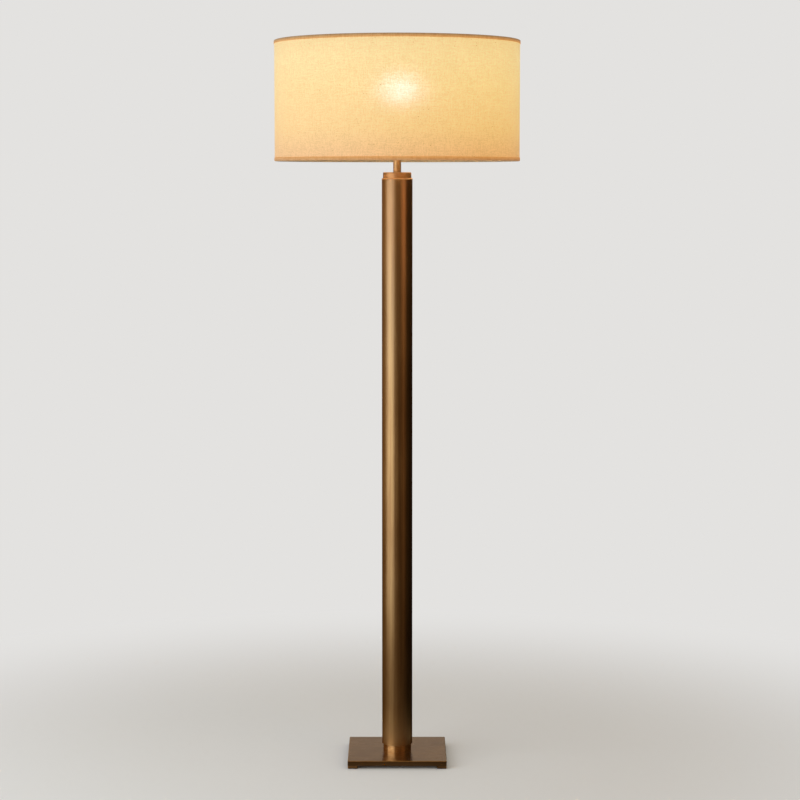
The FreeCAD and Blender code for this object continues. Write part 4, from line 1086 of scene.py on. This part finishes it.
def surroundings(finish, towards_right, towards_back, dimmed=0.0):
    """The pale backdrop. Metal sees it behind the lamp, and a dimmer room on the other sides."""
    behind = finish.between(towards_back, BEHIND_FROM, BEHIND_TO)
    side = towards_right * 0.5 + towards_back * ROOM_LEAN + 0.5
    room = finish.node("ShaderNodeValToRGB", {"stops": ROOM_BY_SIDE}, {0: side})
    room = finish.blend(dimmed, room, (0.0, 0.0, 0.0))
    return finish.blend(mirrored(finish) * (1 - behind), BACKDROP, room)


direction = sky.node("ShaderNodeTexCoord", {}, {}, "Generated")
towards_right = sky.node("ShaderNodeSeparateXYZ", {}, {0: direction}, 0)
towards_back = sky.node("ShaderNodeSeparateXYZ", {}, {0: direction}, 1)
shown_inputs = {"Color": surroundings(sky, towards_right, towards_back), "Strength": 1.0}
shown = sky.node("ShaderNodeBackground", {}, shown_inputs)
fill_colour = sky.node("ShaderNodeValToRGB", {"stops": FILL_BY_SIDE}, {0: towards_right * 0.5 + 0.5})
light = sky.node("ShaderNodeBackground", {}, {"Color": fill_colour, "Strength": FILL})
both = sky.node("ShaderNodeMixShader", {}, {0: seen(sky), 1: light, 2: shown})
sky.close(both, "ShaderNodeOutputWorld")

ground = Finish("studio_floor")
x, y, z = ground.place()
from_lamp = ground.from_axis(x, y)
paint = ground.surface({"Base Color": (*FLOOR_COLOUR, 1.0), "Roughness": 0.9})
rightward = x / from_lamp
near = ground.between(from_lamp, FAR_FLOOR, NEAR_FLOOR)
dimmed = rightward * DIM_TO_RIGHT + DIM_IN_FRONT + near * (DIM_NEAR - rightward * DIM_NEAR)
far_colour = surroundings(ground, rightward, y / from_lamp, dimmed)
far = ground.node("ShaderNodeEmission", {}, {"Color": far_colour, "Strength": 1.0})
far_in_view = ground.between(from_lamp, *SEAMLESS_IN_VIEW) * light_path(ground, "Is Camera Ray")
far_in_metal = ground.between(from_lamp, *SEAMLESS_IN_METAL) * mirrored(ground)
from_above = ground.node("ShaderNodeMixShader", {}, {0: far_in_view + far_in_metal, 1: paint, 2: far})
clear = ground.node("ShaderNodeBsdfTransparent", {}, {"Color": (1.0, 1.0, 1.0, 1.0)})
below = ground.node("ShaderNodeNewGeometry", {}, {}, "Backfacing")
ground.close(ground.node("ShaderNodeMixShader", {}, {0: below, 1: from_above, 2: clear}))

floor_points = [(a * FLOOR_HALF, b * FLOOR_HALF, 0.0) for a, b in ((-1, -1), (1, -1), (1, 1), (-1, 1))]
floor = mesh_piece("studio_floor", floor_points, [(0, 1, 2, 3)])
floor.data.materials.append(ground.material)

LIGHT_SPREAD = 120
LIGHTS = (
    # Name, place, point it is aimed at, size, watts and colour.
    ("key_light", (-1.4, -1.02, 0.74), (0, 0, 0.74), (2.1, 1.44), 11.4, (0.84, 0.945, 1.0)),
    ("warm_light", (1.35, -1.15, 1.42), (0, 0, 1.35), (1.0, 0.8), 1.5, (1.0, 0.55, 0.27)),
    ("low_warm_light", (1.35, -1.15, 0.42), (0, 0, 0.42), (1.0, 0.75), 0.26, (1.0, 0.6, 0.3)),
)
for name, place, towards, size, watts, colour in LIGHTS:
    softbox = bpy.data.objects.new(name, bpy.data.lights.new(name, "AREA"))
    softbox.data.shape = "RECTANGLE"
    softbox.data.size, softbox.data.size_y = size
    softbox.data.energy = watts
    softbox.data.color = colour
    softbox.data.spread = math.radians(LIGHT_SPREAD)
    softbox.location = place
    softbox.rotation_euler = (Vector(towards) - Vector(place)).to_track_quat("-Z", "Y").to_euler()
    softbox.visible_camera = False
    bpy.context.scene.collection.objects.link(softbox)

# ---------------------------------------------------------------------------------------------------
# Camera. It stands in front of the lamp a little below the shade and looks down by a few degrees, which
# is how the photograph shows the drum's two rims, the cap and the plate. The axis is just left of centre.
# ---------------------------------------------------------------------------------------------------

CAMERA_PLACE = (0.0065, -5.150, 1.347)
CAMERA_TILT = 5.60
SENSOR_WIDTH = 36.0
LENS_LENGTH = 100.6

camera = bpy.data.objects.new("camera", bpy.data.cameras.new("camera"))
camera.data.sensor_width = SENSOR_WIDTH
camera.data.lens = LENS_LENGTH
camera.location = CAMERA_PLACE
camera.rotation_euler = (math.radians(90 - CAMERA_TILT), 0, 0)
bpy.context.scene.collection.objects.link(camera)
bpy.context.scene.camera = camera
bpy.context.scene.view_settings.view_transform = "Standard"
